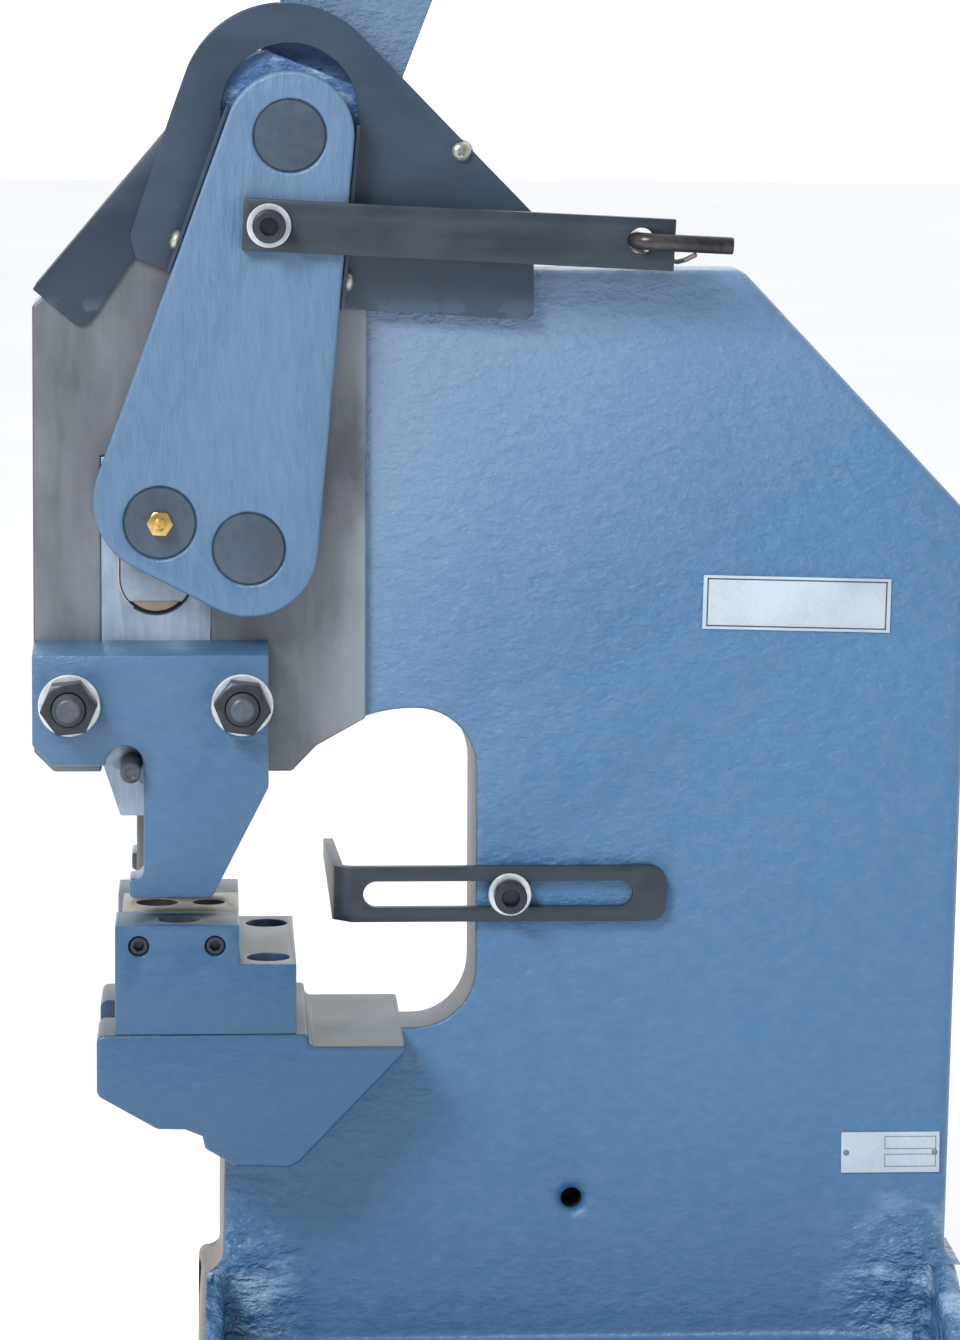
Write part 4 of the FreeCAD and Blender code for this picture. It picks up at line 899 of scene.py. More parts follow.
def block(name: str, low: Sequence[float], high: Sequence[float]) -> Piece:
    """Adds a block between two corners.

    Args:
        name: The object's name.
        low: The lowest corner.
        high: The highest corner.

    Returns:
        The new object, with its place in its mesh.
    """
    bpy.ops.object.select_all(action="DESELECT")
    bpy.ops.mesh.primitive_cube_add(size=1.0)
    piece = bpy.context.object
    piece.name = name
    piece.location = (Vector(low) + Vector(high)) / 2
    piece.scale = Vector(high) - Vector(low)
    settle(piece)
    return piece


# ------------------------------------------------------------------ bought parts


def across_corners(across_flats: float) -> float:
    """The radius to the corners of a hexagon, from its width across flats."""
    return across_flats / 2 / math.cos(math.pi / 6)


@dataclass(frozen=True)
class HexNut:
    """A chamfered hexagon nut with a countersunk bore.

    Args:
        across: Width across its flats.
        height: Its height.
        bore: The radius of its bore.
    """

    across: float = 24 * MM
    height: float = 13 * MM
    bore: float = 8 * MM

    def build(self, name: str, seat: Vector, along: Vector, turn: float = 0.0) -> Piece:
        """Makes the nut.

        Args:
            name: The object's name.
            seat: The middle of the face that it stands on.
            along: The direction that it stands in.
            turn: Degrees that it is turned about its axis.

        Returns:
            The nut.
        """
        flat = self.across / 2
        nut = prism(name, 6, across_corners(self.across), self.height, seat, along, turn)
        outside = flat * 1.2
        shape = turned("nut_shape", [(-MM, 0), (-MM, outside), (self.height - flat * 0.13, outside),
                                     (self.height, flat * 0.98), (self.height, 0)], seat, along)
        cut_away(nut, shape, "INTERSECT")
        lead = self.bore * 0.08
        top = self.height + lead / 3
        hole = turned("nut_bore", [(-MM, 0), (-MM, self.bore), (self.height - lead, self.bore),
                                   (top, self.bore + lead * 4 / 3), (top, 0)], seat, along)
        cut_away(nut, hole)
        smooth(nut)
        return nut


@dataclass(frozen=True)
class Washer:
    """A flat washer with softened edges.

    Args:
        outer: Its outer radius.
        bore: The radius of its hole.
        thick: Its thickness.
        soft: The width of its softened edges.
    """

    outer: float = 15 * MM
    bore: float = 8.4 * MM
    thick: float = 3 * MM
    soft: float = 0.45 * MM

    def build(self, name: str, seat: Vector, along: Vector) -> Piece:
        """Makes the washer.

        Args:
            name: The object's name.
            seat: The middle of the face that it lies on.
            along: The direction that it faces.

        Returns:
            The washer.
        """
        upper = self.thick - self.soft
        ring = [(0, self.bore), (0, self.outer - self.soft), (self.soft, self.outer), (upper, self.outer),
                (self.thick, self.outer - self.soft), (self.thick, self.bore + self.soft),
                (upper, self.bore), (0, self.bore)]
        return turned(name, ring, seat, along, 72)


@dataclass(frozen=True)
class SocketScrew:
    """A socket cap screw with a rounded head.

    Args:
        radius: The shank's radius.
        head_radius: The head's radius.
        head: The head's height.
        socket: The socket's width across its flats.
        soft: The width of the chamfers.
    """

    radius: float = 5 * MM
    head_radius: float = 8 * MM
    head: float = 10 * MM
    socket: float = 8 * MM
    soft: float = 0.9 * MM

    def build(self, name: str, seat: Vector, outward: Vector, shank: float) -> Piece:
        """Makes the screw.

        Args:
            name: The object's name.
            seat: The middle of the face that its head stands on.
            outward: The direction that the head stands in.
            shank: The shank's length.

        Returns:
            The screw.
        """
        screw = turned(name, [
            (-shank, 0), (-shank, self.radius - self.soft), (-shank + self.soft, self.radius),
            (0, self.radius), (0, self.head_radius - 0.4 * MM), (0.4 * MM, self.head_radius),
            (self.head - self.soft, self.head_radius),
            (self.head - 0.25 * MM, self.head_radius - 0.35 * MM),
            (self.head, self.head_radius - self.soft), (self.head, 0)], seat, outward, 72)
        cut_away(screw, prism("socket_hollow", 6, across_corners(self.socket), self.head * 0.55 + MM,
                              seat + outward * (self.head + MM), -outward, 30))
        depth = 0.7 * MM
        lead = turned("socket_lead", [(-MM, 0), (-MM, self.socket * 0.66), (depth, self.socket / 2),
                                      (depth, 0)], seat + outward * self.head, -outward)
        cut_away(screw, lead)
        smooth(screw)
        return screw


@dataclass(frozen=True)
class PanScrew:
    """A small pan-headed screw with a cross recess.

    Args:
        radius: The shank's radius.
        head_radius: The head's radius.
        head: The head's height.
        shank: The shank's length.
        recess_radius: How far the cross reaches.
        recess_depth: The cross's depth.
        recess_share: The cross's width as a share of its length.
    """

    radius: float = 2.45 * MM
    head_radius: float = 4.8 * MM
    head: float = 3.4 * MM
    shank: float = 12 * MM
    recess_radius: float = 3.1 * MM
    recess_depth: float = 2.2 * MM
    recess_share: float = 0.36

    def build(self, name: str, seat: Vector, outward: Vector, turn: float = 0.0) -> Piece:
        """Makes the screw.

        Args:
            name: The object's name.
            seat: The middle of the face that its head stands on.
            outward: The direction that the head stands in.
            turn: Degrees that the cross is turned.

        Returns:
            The screw.
        """
        shares = ((0, 0.97), (0.3, 1), (0.62, 0.9), (0.86, 0.66), (0.97, 0.36), (1, 0))
        screw = turned(name, [(-self.shank, 0), (-self.shank, self.radius * 0.7),
                              (-self.shank + MM, self.radius), (0, self.radius)]
                       + [(self.head * along, self.head_radius * out) for along, out in shares],
                       seat, outward, 40)
        for quarter in (0, 90):
            recess = prism("cross_recess", 4, self.recess_radius, 3 * MM,
                           seat + outward * (self.head - self.recess_depth), outward, turn + quarter)
            spin = Matrix.Rotation(math.radians(turn + quarter + 45), 3, "Z")
            across = outward.to_track_quat("Z", "Y").to_matrix() @ spin
            squeeze = across @ Matrix.Diagonal((1.0, self.recess_share, 1.0)) @ across.transposed()
            for change in (Matrix.Translation(-seat), squeeze.to_4x4(), Matrix.Translation(seat)):
                recess.data.transform(change)
            cut_away(screw, recess)
        smooth(screw)
        return screw


# ------------------------------------------------------------------ rounded edges


@dataclass(frozen=True)
class Edge:
    """A sharp edge of a mesh.

    Args:
        start: One end.
        end: The other end.
        outward: Whether the edge stands out, and isn't an inner corner.
    """

    start: Vector
    end: Vector
    outward: bool

    @property
    def middle(self) -> Vector:
        """The edge's middle."""
        return (self.start + self.end) / 2

    def lies(self, axis: int, place: float, slack: float = 0.15 * MM) -> bool:
        """Whether both ends lie at a distance from the middle plane of an axis."""
        return all(abs(abs(point[axis]) - place) < slack for point in (self.start, self.end))

    def runs(self, axis: int) -> bool:
        """Whether the edge runs along an axis."""
        return abs((self.end - self.start).normalized()[axis]) > 0.999


WidthOf = Callable[[Edge], float]


def stands_out(mesh: bpy.types.Mesh, edge: bpy.types.MeshEdge,
               beside: Sequence[bpy.types.MeshPolygon]) -> bool:
    """Whether the two faces of an edge fall away from each other.

    Args:
        mesh: The mesh.
        edge: The edge.
        beside: Its two faces.

    Returns:
        True for an outer edge, False for an inner corner.
    """
    first, second = beside
    start, end = edge.vertices
    along = mesh.vertices[end].co - mesh.vertices[start].co
    order = list(first.vertices)
    if order[(order.index(start) + 1) % len(order)] != end:
        along = -along
    turn = first.normal.cross(second.normal).dot(along)
    way = second.center - first.center
    return turn > 0 if abs(turn) > 1e-12 else way.dot(first.normal) < 0


def sharp_edges(mesh: bpy.types.Mesh, sharper_than: float) -> Iterator[tuple[int, Edge]]:
    """Goes through the edges between two faces that meet at an angle.

    Args:
        mesh: The mesh.
        sharper_than: The least angle in degrees.

    Yields:
        Each edge's number, and the edge.
    """
    faces: dict[tuple[int, int], list[bpy.types.MeshPolygon]] = {}
    for face in mesh.polygons:
        for key in face.edge_keys:
            faces.setdefault(key, []).append(face)
    for edge in mesh.edges:
        beside = faces.get(edge.key, [])
        if len(beside) != 2:
            continue
        if math.degrees(beside[0].normal.angle(beside[1].normal, 0.0)) < sharper_than:
            continue
        start, end = (mesh.vertices[index].co.copy() for index in edge.vertices)
        yield edge.index, Edge(start, end, stands_out(mesh, edge, beside))


@dataclass(frozen=True)
class Rounding:
    """One pass of rounded edges.

    Args:
        width: The width at every outer edge, or a function that gives an edge's width.
        segments: Steps across the rounding.
        sharper_than: Edges between faces flatter than this many degrees are left alone.
    """

    width: float | WidthOf
    segments: int = 2
    sharper_than: float = 25.0

    def at(self, edge: Edge) -> float:
        """The rounding's width for an edge, or 0 for none.

        Args:
            edge: The edge.

        Returns:
            The width, or 0 for an edge that stays sharp.
        """
        if callable(self.width):
            return self.width(edge)
        return self.width if edge.outward else 0.0

    def apply(self, piece: Piece) -> None:
        """Rounds each sharp edge of a piece by its own width.

        Args:
            piece: The mesh object.
        """
        edges = sharp_edges(piece.data, self.sharper_than)
        widths = {number: width for number, width in ((number, self.at(edge)) for number, edge in edges)
                  if width > 0}
        if not widths:
            return
        widest = max(widths.values())
        weights = piece.data.attributes.new("bevel_weight_edge", "FLOAT", "EDGE")
        for number, width in widths.items():
            weights.data[number].value = width / widest
        modify(piece, "BEVEL", width=widest, segments=self.segments, limit_method="WEIGHT",
               use_clamp_overlap=False, loop_slide=False)
        left = piece.data.attributes.get("bevel_weight_edge")
        if left is not None:
            piece.data.attributes.remove(left)


# ------------------------------------------------------------------ sub-assemblies


@dataclass
class Assembly:
    """What every sub-assembly shares.

    Args:
        finishes: The machine's finishes.
    """

    finishes: Finishes

    def dressed(self, node: str, body: Body, slot: str, *looks: Material, rounds: Sequence[Rounding] = (),
                paints: Sequence[tuple[Material, FaceTest]] = (),
                shift: Callable[[Vector], Vector] | None = None, name: str = "",
                sharp: float = 32.0) -> None:
        """Replaces a CAD node by a copy with moved corners, rounded edges and painted faces.

        Args:
            node: The CAD node.
            body: The body that it rides on.
            slot: The record's material slot.
            *looks: Its finishes, the usual one first.
            rounds: The passes that round its edges.
            paints: Finishes with the test of the faces that get them, in the order of painting.
            shift: Gets a vertex's place and gives its shift.
            name: The new piece's name, where it isn't the node's with dressed behind it.
            sharp: Edges sharper than this many degrees stay sharp in the shading.
        """
        piece = cast_copy(node, name or f"{node}_dressed")
        if shift is not None:
            for vertex in piece.data.vertices:
                vertex.co += shift(vertex.co)
        for rounding in rounds:
            rounding.apply(piece)
        coat(piece, *looks)
        for material, test in paints:
            paint(piece, looks.index(material), test)
        smooth(piece, sharp)
        mount(piece, body, slot, node)

    def clamp(self, name: str, seat: Vector, shank: float, body: Body) -> None:
        """Makes an M10 cap screw with its washer.

        Args:
            name: What it clamps.
            seat: The middle of the face that the screw's head stands on.
            shank: The screw's length.
            body: The body that both ride on.
        """
        washer = Washer(10.6 * MM, 5.3 * MM, 2 * MM)
        ring = washer.build(f"{name}_washer_turned", seat + FARWARD * washer.thick, NEARWARD)
        finish(ring, self.finishes.zinc, body, "zinc", f"{name}_washer")
        screw = SocketScrew().build(f"{name}_screw_turned", seat, NEARWARD, shank)
        finish(screw, self.finishes.black, body, "black_oxide", f"{name}_screw")


@dataclass
class FrameCasting(Assembly):
    """The cast C frame with its bare milled head, table and foot walls."""

    base_top: float = 24 * MM
    foot_top: float = 70 * MM
    foot_wall_top: float = 80 * MM
    web_face: float = 20 * MM
    web_low: float = 60 * MM
    web_front: float = -177.8 * MM
    front_top: float = 140 * MM
    head_face: float = 25 * MM
    head_low: float = 311.5 * MM
    head_front: float = -267.9 * MM
    head_back: float = -106.2 * MM
    table_side: float = 64 * MM
    table_low: float = 110 * MM
    table_top: float = 189.3 * MM
    table_ledge: float = 183.1 * MM
    table_step: float = -139 * MM
    table_end: float = -87.8 * MM
    slot_side: float = 22 * MM
    slot_end: float = -160 * MM
    slot_low: float = 170 * MM
    throat_low: float = 180 * MM
    throat_top: float = 345 * MM
    throat_wall: float = -51.7 * MM
    throat_corner: float = 30 * MM
    bore_centre: tuple[float, float] = (-3.3 * MM, 95.5 * MM)
    bore_reach: float = 5.3 * MM
    web_round: float = 6 * MM
    head_round: float = 1.2 * MM
    table_round: float = 1.9 * MM
    throat_round: float = 1.6 * MM
    wall_round: float = 4 * MM
    other_round: float = 0.4 * MM
    ledge_corner: float = 4.5 * MM
    ledge_fillet: float = 3.5 * MM
    foot_fillet: float = 7 * MM
    throat_draft: float = 2.6 * MM
    front_draft: float = 2.9 * MM

    def fillet(self, edge: Edge) -> float:
        """The rounding's width for an inner corner of the casting.

        Args:
            edge: The edge.

        Returns:
            The width, or 0 for a corner that stays sharp.
        """
        middle = edge.middle
        if edge.runs(1) and abs(middle.z - self.table_ledge) < MM and middle.x < self.table_end - 20 * MM:
            return self.ledge_fillet
        return self.foot_fillet if middle.z < self.foot_top and edge.lies(1, self.web_face) else 0.0

    def rounding(self, edge: Edge) -> float:
        """The rounding's width for an edge of the casting.

        Args:
            edge: The edge.

        Returns:
            The width, or 0 for an edge that stays sharp.
        """
        if not edge.outward:
            return self.fillet(edge)
        middle = edge.middle
        if edge.lies(1, self.web_face):
            facing_left = (middle.x < self.throat_wall + MM
                           and self.foot_top < middle.z < self.head_low + 50 * MM)
            return self.throat_round if facing_left else self.web_round
        if edge.lies(1, self.head_face):
            return self.head_round
        if edge.lies(1, self.table_side):
            at_end = edge.runs(2) and middle.y > 0 and abs(middle.x - self.table_end) < MM
            return self.ledge_corner if at_end else self.table_round
        if middle.z < 100 * MM and abs(middle.y) > self.web_face + MM:
            return self.wall_round if middle.z > self.base_top + MM else self.table_round
        if edge.runs(1) and abs(middle.y) < self.table_side:
            return self.head_round
        return self.other_round

    def on_table_side(self, centre: Vector, _: Vector) -> bool:
        """Whether a face belongs to the table outside the web."""
        return (centre.x < self.table_end and abs(centre.y) > self.web_face + MM
                and self.table_low < centre.z < self.throat_low + 20 * MM)

    def on_head(self, centre: Vector, _: Vector) -> bool:
        """Whether a face belongs to the head's bare metal.

        Args:
            centre: The face's centre.
            _: The face's normal, which doesn't matter here.

        Returns:
            True for such a face.
        """
        if centre.z < self.head_low - MM or centre.x > self.head_back + 0.2 * MM:
            return False
        in_front = self.head_back - 70 * MM > centre.x > self.head_front + 5.9 * MM
        return abs(centre.y) > self.head_face - 1.6 * MM or in_front

    def on_head_front(self, centre: Vector, normal: Vector) -> bool:
        """Whether a face belongs to the primed front of the head."""
        return (centre.x < self.head_front + 2.4 * MM and normal.x < -0.3
                and centre.z > self.head_low + 10 * MM)

    def on_table_top(self, centre: Vector, normal: Vector) -> bool:
        """Whether a face belongs to the table's flat top or the ledge behind it."""
        return (normal.z > 0.99 and abs(centre.y) < self.table_side
                and self.throat_low < centre.z < self.table_top + 0.7 * MM)

    def on_ledge(self, centre: Vector, normal: Vector) -> bool:
        """Whether a face belongs to the ledge, its step or its end.

        Args:
            centre: The face's centre.
            normal: The face's normal.

        Returns:
            True for such a face.
        """
        return (self.table_step < centre.x < self.table_end and normal.y > -0.5
                and self.table_ledge - 2.1 * MM < centre.z < self.table_top + 0.2 * MM
                and abs(centre.y) < self.table_side)

    def on_grey_edge(self, centre: Vector, normal: Vector) -> bool:
        """Whether a face belongs to the web's edges in the throat, whose grey is partly a painted reflection.

        Args:
            centre: The face's centre.
            normal: The face's normal.

        Returns:
            True for such a face.
        """
        if abs(normal.y) > 0.7 or abs(centre.y) > self.web_face:
            return False
        return (self.head_back < centre.x < self.throat_wall + 3 * MM
                and self.throat_low < centre.z < self.throat_top)

    def on_throat_floor(self, centre: Vector, normal: Vector) -> bool:
        """Whether a face belongs to the throat's floor."""
        return (normal.z > 0.6 and centre.x < self.throat_wall and abs(centre.y) < self.table_side
                and self.slot_low < centre.z < self.throat_low + 20 * MM)

    def on_foot_edge(self, centre: Vector, normal: Vector) -> bool:
        """Whether a face belongs to the bare front edges below the table.

        Args:
            centre: The face's centre.
            normal: The face's normal.

        Returns:
            True for such a face.
        """
        at_web = (centre.x < self.web_front + 4 * MM and abs(centre.y) < self.web_face
                  and self.web_low < centre.z < self.front_top - 10 * MM)
        at_wall = (centre.x < self.web_front - 3 * MM and normal.x < -0.4
                   and self.base_top < centre.z < self.foot_wall_top)
        return at_wall or (at_web and abs(normal.y) < 0.7)

    def in_bore(self, centre: Vector, _: Vector) -> bool:
        """Whether a face lies in the small hole in the web."""
        x, z = self.bore_centre
        return math.hypot(centre.x - x, centre.z - z) < self.bore_reach and abs(centre.y) < self.web_face

    def in_table_slot(self, centre: Vector, _: Vector) -> bool:
        """Whether a face lies in the shaded slot under the die holder."""
        return (abs(centre.y) < self.slot_side and centre.x < self.slot_end
                and self.slot_low < centre.z < self.table_top - 0.8 * MM)

    def draft(self, place: Vector) -> Vector:
        """How far a vertex of the web is moved by the casting's draft.

        Args:
            place: The vertex's place.

        Returns:
            Its shift.
        """
        if abs(place.y - self.web_face) < MM and self.throat_low < place.z < self.throat_top:
            reach = (place.x - self.throat_wall + self.throat_corner) / self.throat_corner
            inside = place.x < self.throat_wall + MM
            return Vector((-self.throat_draft * min(max(reach, 0.0), 1.0) if inside else 0.0, 0, 0))
        at_front = place.x < self.web_front + 0.2 * MM and self.web_low < place.z < self.front_top
        if not at_front or place.y > MM - self.web_face:
            return Vector((0, 0, 0))
        return Vector((self.front_draft if place.z > self.foot_top else self.front_draft / 2, 0, 0))

    def build(self) -> None:
        """Rounds the casting's edges, and leaves the milled faces bare."""
        look = self.finishes
        self.dressed("frame_casting", Body.FRAME, "blue_paint", look.blue, look.head, look.table,
                     look.deep_blue, look.blue_shaded_low, look.wall, look.primer, look.foot, look.bore,
                     rounds=[Rounding(self.rounding, 4)], shift=self.draft, name="frame_casting_body",
                     sharp=35, paints=[
                         (look.blue_shaded_low, self.on_table_side), (look.head, self.on_head),
                         (look.primer, self.on_head_front), (look.table, self.on_table_top),
                         # The throat's edges get the grey with its painted reflection.
                         (look.table, self.on_ledge), (look.wall, self.on_grey_edge),
                         (look.table, self.on_throat_floor), (look.foot, self.on_foot_edge),
                         # The web's small hole gets the dark finish as painted shade.
                         (look.bore, self.in_bore), (look.deep_blue, self.in_table_slot)])


@dataclass
class Rocker(Assembly):
    """The two side plates with their three pins and the grease nipple."""

    inner_face: float = 26 * MM
    outer_face: float = 46 * MM
    plate_round: float = 1.8 * MM
    pin_radius: float = 17.45 * MM
    pin_sunk: float = 0.1 * MM
    rim_depth: float = 0.9 * MM
    rim_width: float = 0.85 * MM
    waist: float = 13 * MM
    stub_length: float = 25.5 * MM

    def rounding(self, edge: Edge) -> float:
        """The rounding's width for an edge of a side plate.

        Args:
            edge: The edge.

        Returns:
            The width, or 0 for an edge that stays sharp.
        """
        if not edge.outward:
            return 0.0
        return self.plate_round if edge.lies(1, self.outer_face) else 0.5 * MM

    def build(self) -> None:
        """Dresses the plates and turns the pins."""
        for node in ("side_plate_near", "side_plate_far"):
            self.dressed(node, Body.ROCKER, "blue_paint", self.finishes.blue_plate,
                         rounds=[Rounding(self.rounding, 3)])
        self.pins()
        self.nipple()

    def end(self, name: str, centre: Vector, side: Side, waist_length: float) -> Piece:
        """Turns one pin end with its waist.

        Args:
            name: The object's name.
            centre: The pin's middle.
            side: Which side's end this is.
            waist_length: How far the waist runs inwards.

        Returns:
            The pin end.
        """
        face = Vector((centre.x, side.value * self.outer_face, centre.z))
        depth = self.outer_face - self.inner_face
        profile = [(-self.pin_sunk, 0.0), (-self.pin_sunk, self.pin_radius - self.rim_width),
                   (-self.pin_sunk - self.rim_depth, self.pin_radius), (-depth, self.pin_radius),
                   (-depth, self.waist), (-depth - waist_length, self.waist), (-depth - waist_length, 0.0)]
        return turned(name, profile, face, Vector((0, side.value, 0)))

    def pins(self) -> None:
        """Turns the pivot stubs, the ram pin and the lever pin."""
        for node, waist_length in (("pivot_pins", self.stub_length), ("ram_pin", self.inner_face),
                                   ("lever_pin", self.inner_face)):
            centre = box_middle(node)
            pieces = [self.end(f"{node}_{side.name}", centre, side, waist_length) for side in Side]
            if node == "lever_pin":
                start = Vector((centre.x, -self.inner_face, centre.z))
                shaft = prism("lever_pin_shaft", 64, self.pin_radius, 2 * self.inner_face, start, FARWARD)
                smooth(shaft)
                pieces.append(shaft)
            piece = join(pieces, f"{node}_turned")
            finish(piece, self.finishes.pin, Body.ROCKER, "black_oxide", node)

    def nipple(self) -> None:
        """Makes the brass grease nipple in the ram pin's near end."""
        centre = box_middle("ram_pin")
        seat = Vector((centre.x, -self.outer_face, centre.z))
        hexagon = HexNut(11 * MM, 5 * MM, 2 * MM).build("grease_nipple_hexagon", seat, NEARWARD, 27)
        profile = ((-4.8, 0), (-4.8, 3.0), (4.9, 3.0), (6.2, 2.2), (7.2, 2.1), (8.6, 3.1), (9.8, 3.0),
                   (10.9, 1.7), (10.9, 0.9), (10.0, 0.6), (10.0, 0))
        nose = turned("grease_nipple_nose", [(along * MM, radius * MM) for along, radius in profile],
                      seat, NEARWARD, 40)
        piece = join([hexagon, nose], "grease_nipple_turned")
        finish(piece, self.finishes.brass, Body.ROCKER, "brass", "grease_nipple")


@dataclass
class Guards(Assembly):
    """The sheet guards, the front cover, the spacer and the guard screws.

    Args:
        screw_places: The seat and the direction of each far screw; the near ones mirror them.
        corner: X and Z that the guard's low back corner lies beyond.
        corner_round: The width of that corner's rounding.
    """

    screw_places: tuple[tuple[tuple[float, float, float], tuple[float, float, float]], ...] = (
        ((-0.11622, 0.0355, 0.55223), (0.9963, 0.0, -0.0857)),
        ((-0.19759, 0.0355, 0.57205), (-0.9401, 0.0, 0.3409)),
        ((-0.06078, 0.029, 0.61464), (0.0, 1.0, 0.0)))
    corner: tuple[float, float] = (-29.5 * MM, 537.5 * MM)
    corner_round: float = 1.9 * MM

    def rounding(self, edge: Edge) -> float:
        """The rounding's width for an edge of a guard, wide at its low back corner.

        Args:
            edge: The edge.

        Returns:
            The width, or 0 for an edge that stays sharp.
        """
        if not edge.outward:
            return 0.0
        at_corner = edge.middle.x > self.corner[0] and edge.middle.z < self.corner[1]
        return self.corner_round if at_corner and edge.runs(1) else 0.35 * MM

    def on_front_edge(self, _: Vector, normal: Vector) -> bool:
        """Whether a face belongs to the cover's edges at its front."""
        return normal.x < -0.2 and abs(normal.y) < 0.9

    def build(self) -> None:
        """Dresses the sheets and makes the screws."""
        look = self.finishes
        for node in ("guard_near", "guard_far"):
            self.dressed(node, Body.ROCKER, "charcoal_paint", look.charcoal,
                         rounds=[Rounding(self.rounding, 4)])
        self.dressed("front_cover", Body.ROCKER, "charcoal_paint", look.cover, look.bore,
                     # The cover's front edges get the dark finish as painted shade.
                     rounds=[Rounding(0.3 * MM)], paints=[(look.bore, self.on_front_edge)])
        self.dressed("guard_spacer", Body.ROCKER, "machined_steel", look.zinc, rounds=[Rounding(0.3 * MM)])
        self.screws()

    def screws(self) -> None:
        """Makes the six pan screws, three on each side."""
        pieces = []
        for side in Side:
            for number, pair in enumerate(self.screw_places):
                seat, outward = (Vector((x, side.value * y, z)) for x, y, z in pair)
                name = f"guard_screw_{side.name}_{number}"
                pieces.append(PanScrew().build(name, seat, outward, 20 + 35 * number))
        piece = join(pieces, "guard_screws_turned")
        finish(piece, self.finishes.yellow_zinc, Body.ROCKER, "zinc", "guard_screws")


@dataclass
class LeverArm(Assembly):
    """The cast lever, its bush, the handle tube, the grip and the handle's screw."""

    lean: float = 21.0
    length: float = 950 * MM
    hub_face: float = 24.5 * MM
    arm_face: float = 15 * MM
    tooth_face: float = 13.8 * MM
    hub_reach: float = 45 * MM
    tooth_reach: float = -30 * MM
    tube: float = 21.1 * MM
    grip: float = 25 * MM
    grip_length: float = 135 * MM
    grip_end: float = 4 * MM
    ribs: int = 18
    rib_depth: float = 1.6 * MM
    screw_seat: tuple[float, float, float] = (-4.6 * MM, -27 * MM, 985.06 * MM)

    @property
    def way(self) -> Vector:
        """The lever's direction, from its pin to its grip."""
        return Vector((math.sin(math.radians(self.lean)), 0, math.cos(math.radians(self.lean))))

    def rounding(self, edge: Edge) -> float:
        """The rounding's width for an edge of the lever.

        Args:
            edge: The edge.

        Returns:
            The width, or 0 for an edge that stays sharp.
        """
        if not edge.outward:
            return 0.0
        if edge.lies(1, self.arm_face):
            return 1.4 * MM
        return 1.5 * MM if edge.lies(1, self.hub_face) else 0.4 * MM

    def along(self, place: Vector) -> float:
        """How far a place lies up the lever from its pin."""
        return (place - box_middle("lever_pin")).dot(self.way)

    def on_hub(self, centre: Vector, _: Vector) -> bool:
        """Whether a face belongs to the hub."""
        return abs(centre.y) > self.arm_face + 0.2 * MM and self.along(centre) < self.hub_reach

    def on_teeth(self, centre: Vector, _: Vector) -> bool:
        """Whether a face belongs to the toothed foot."""
        return abs(centre.y) < self.tooth_face + 0.2 * MM and self.along(centre) < self.tooth_reach

    def build(self) -> None:
        """Dresses the lever and makes the handle."""
        look = self.finishes
        self.dressed("lever", Body.LEVER, "blue_paint", look.blue_arm, look.tool, look.blue_hub,
                     rounds=[Rounding(self.rounding, 3)],
                     paints=[(look.blue_hub, self.on_hub), (look.tool, self.on_teeth)])
        self.dressed("lever_bush", Body.LEVER, "bronze", look.bronze, rounds=[Rounding(0.4 * MM)])
        self.dressed("handle_tube", Body.LEVER, "zinc", look.tube, rounds=[Rounding(0.5 * MM)])
        self.handle_grip()
        screw = SocketScrew().build("handle_screw_turned", Vector(self.screw_seat), NEARWARD, 6 * MM)
        finish(screw, look.black, Body.LEVER, "black_oxide", "handle_screw")

    def handle_grip(self) -> None:
        """Turns the rubber grip with its ribs."""
        end = self.length + self.grip_end
        start = end - self.grip_length
        pitch = (self.grip_length - 20 * MM) / self.ribs
        groove, rib = self.grip - self.rib_depth, self.grip - 0.5 * MM
        outline = [(start, self.tube), (start, self.grip - 0.8 * MM), (start + 0.8 * MM, self.grip),
                   (start + 6 * MM, self.grip)]
        for number in range(self.ribs):
            at = start + 7 * MM + number * pitch
            outline += [(at, groove), (at + pitch * 0.35, groove), (at + pitch * 0.5, rib),
                        (at + pitch * 0.85, rib)]
        floor = end - 3.9 * MM
        outline += [(end - 12 * MM, self.grip - 0.2 * MM), (end - 3 * MM, self.grip - 0.2 * MM),
                    (end - 0.8 * MM, self.grip - 1.2 * MM), (end, self.grip - 4 * MM), (end, 0.0),
                    (floor, 0.0), (floor, self.tube), (start, self.tube)]
        pin = box_middle("lever_pin")
        piece = turned("handle_grip_moulded", outline, Vector((pin.x, 0, pin.z)), self.way, 64)
        finish(piece, self.finishes.rubber, Body.LEVER, "grip", "handle_grip")


@dataclass
class LockBar(Assembly):
    """The lock bar, its screw and washer, the L-shaped pin and the pin's wire."""

    screw_seat: tuple[float, float, float] = (-153.78 * MM, -54.6 * MM, 580.04 * MM)
    screw_length: float = 24.3 * MM

    def build(self) -> None:
        """Dresses the bar and makes its fastenings."""
        look = self.finishes
        self.dressed("lock_bar", Body.LOCK_BAR, "black_oxide", look.bar, rounds=[Rounding(0.5 * MM)])
        self.dressed("lock_pin", Body.LOCK_BAR, "spring_steel", look.linch, rounds=[Rounding(0.9 * MM)])
        self.dressed("lock_pin_wire", Body.LOCK_BAR, "spring_steel", look.wire)
        self.clamp("lock_bar", Vector(self.screw_seat), self.screw_length, Body.ROCKER)


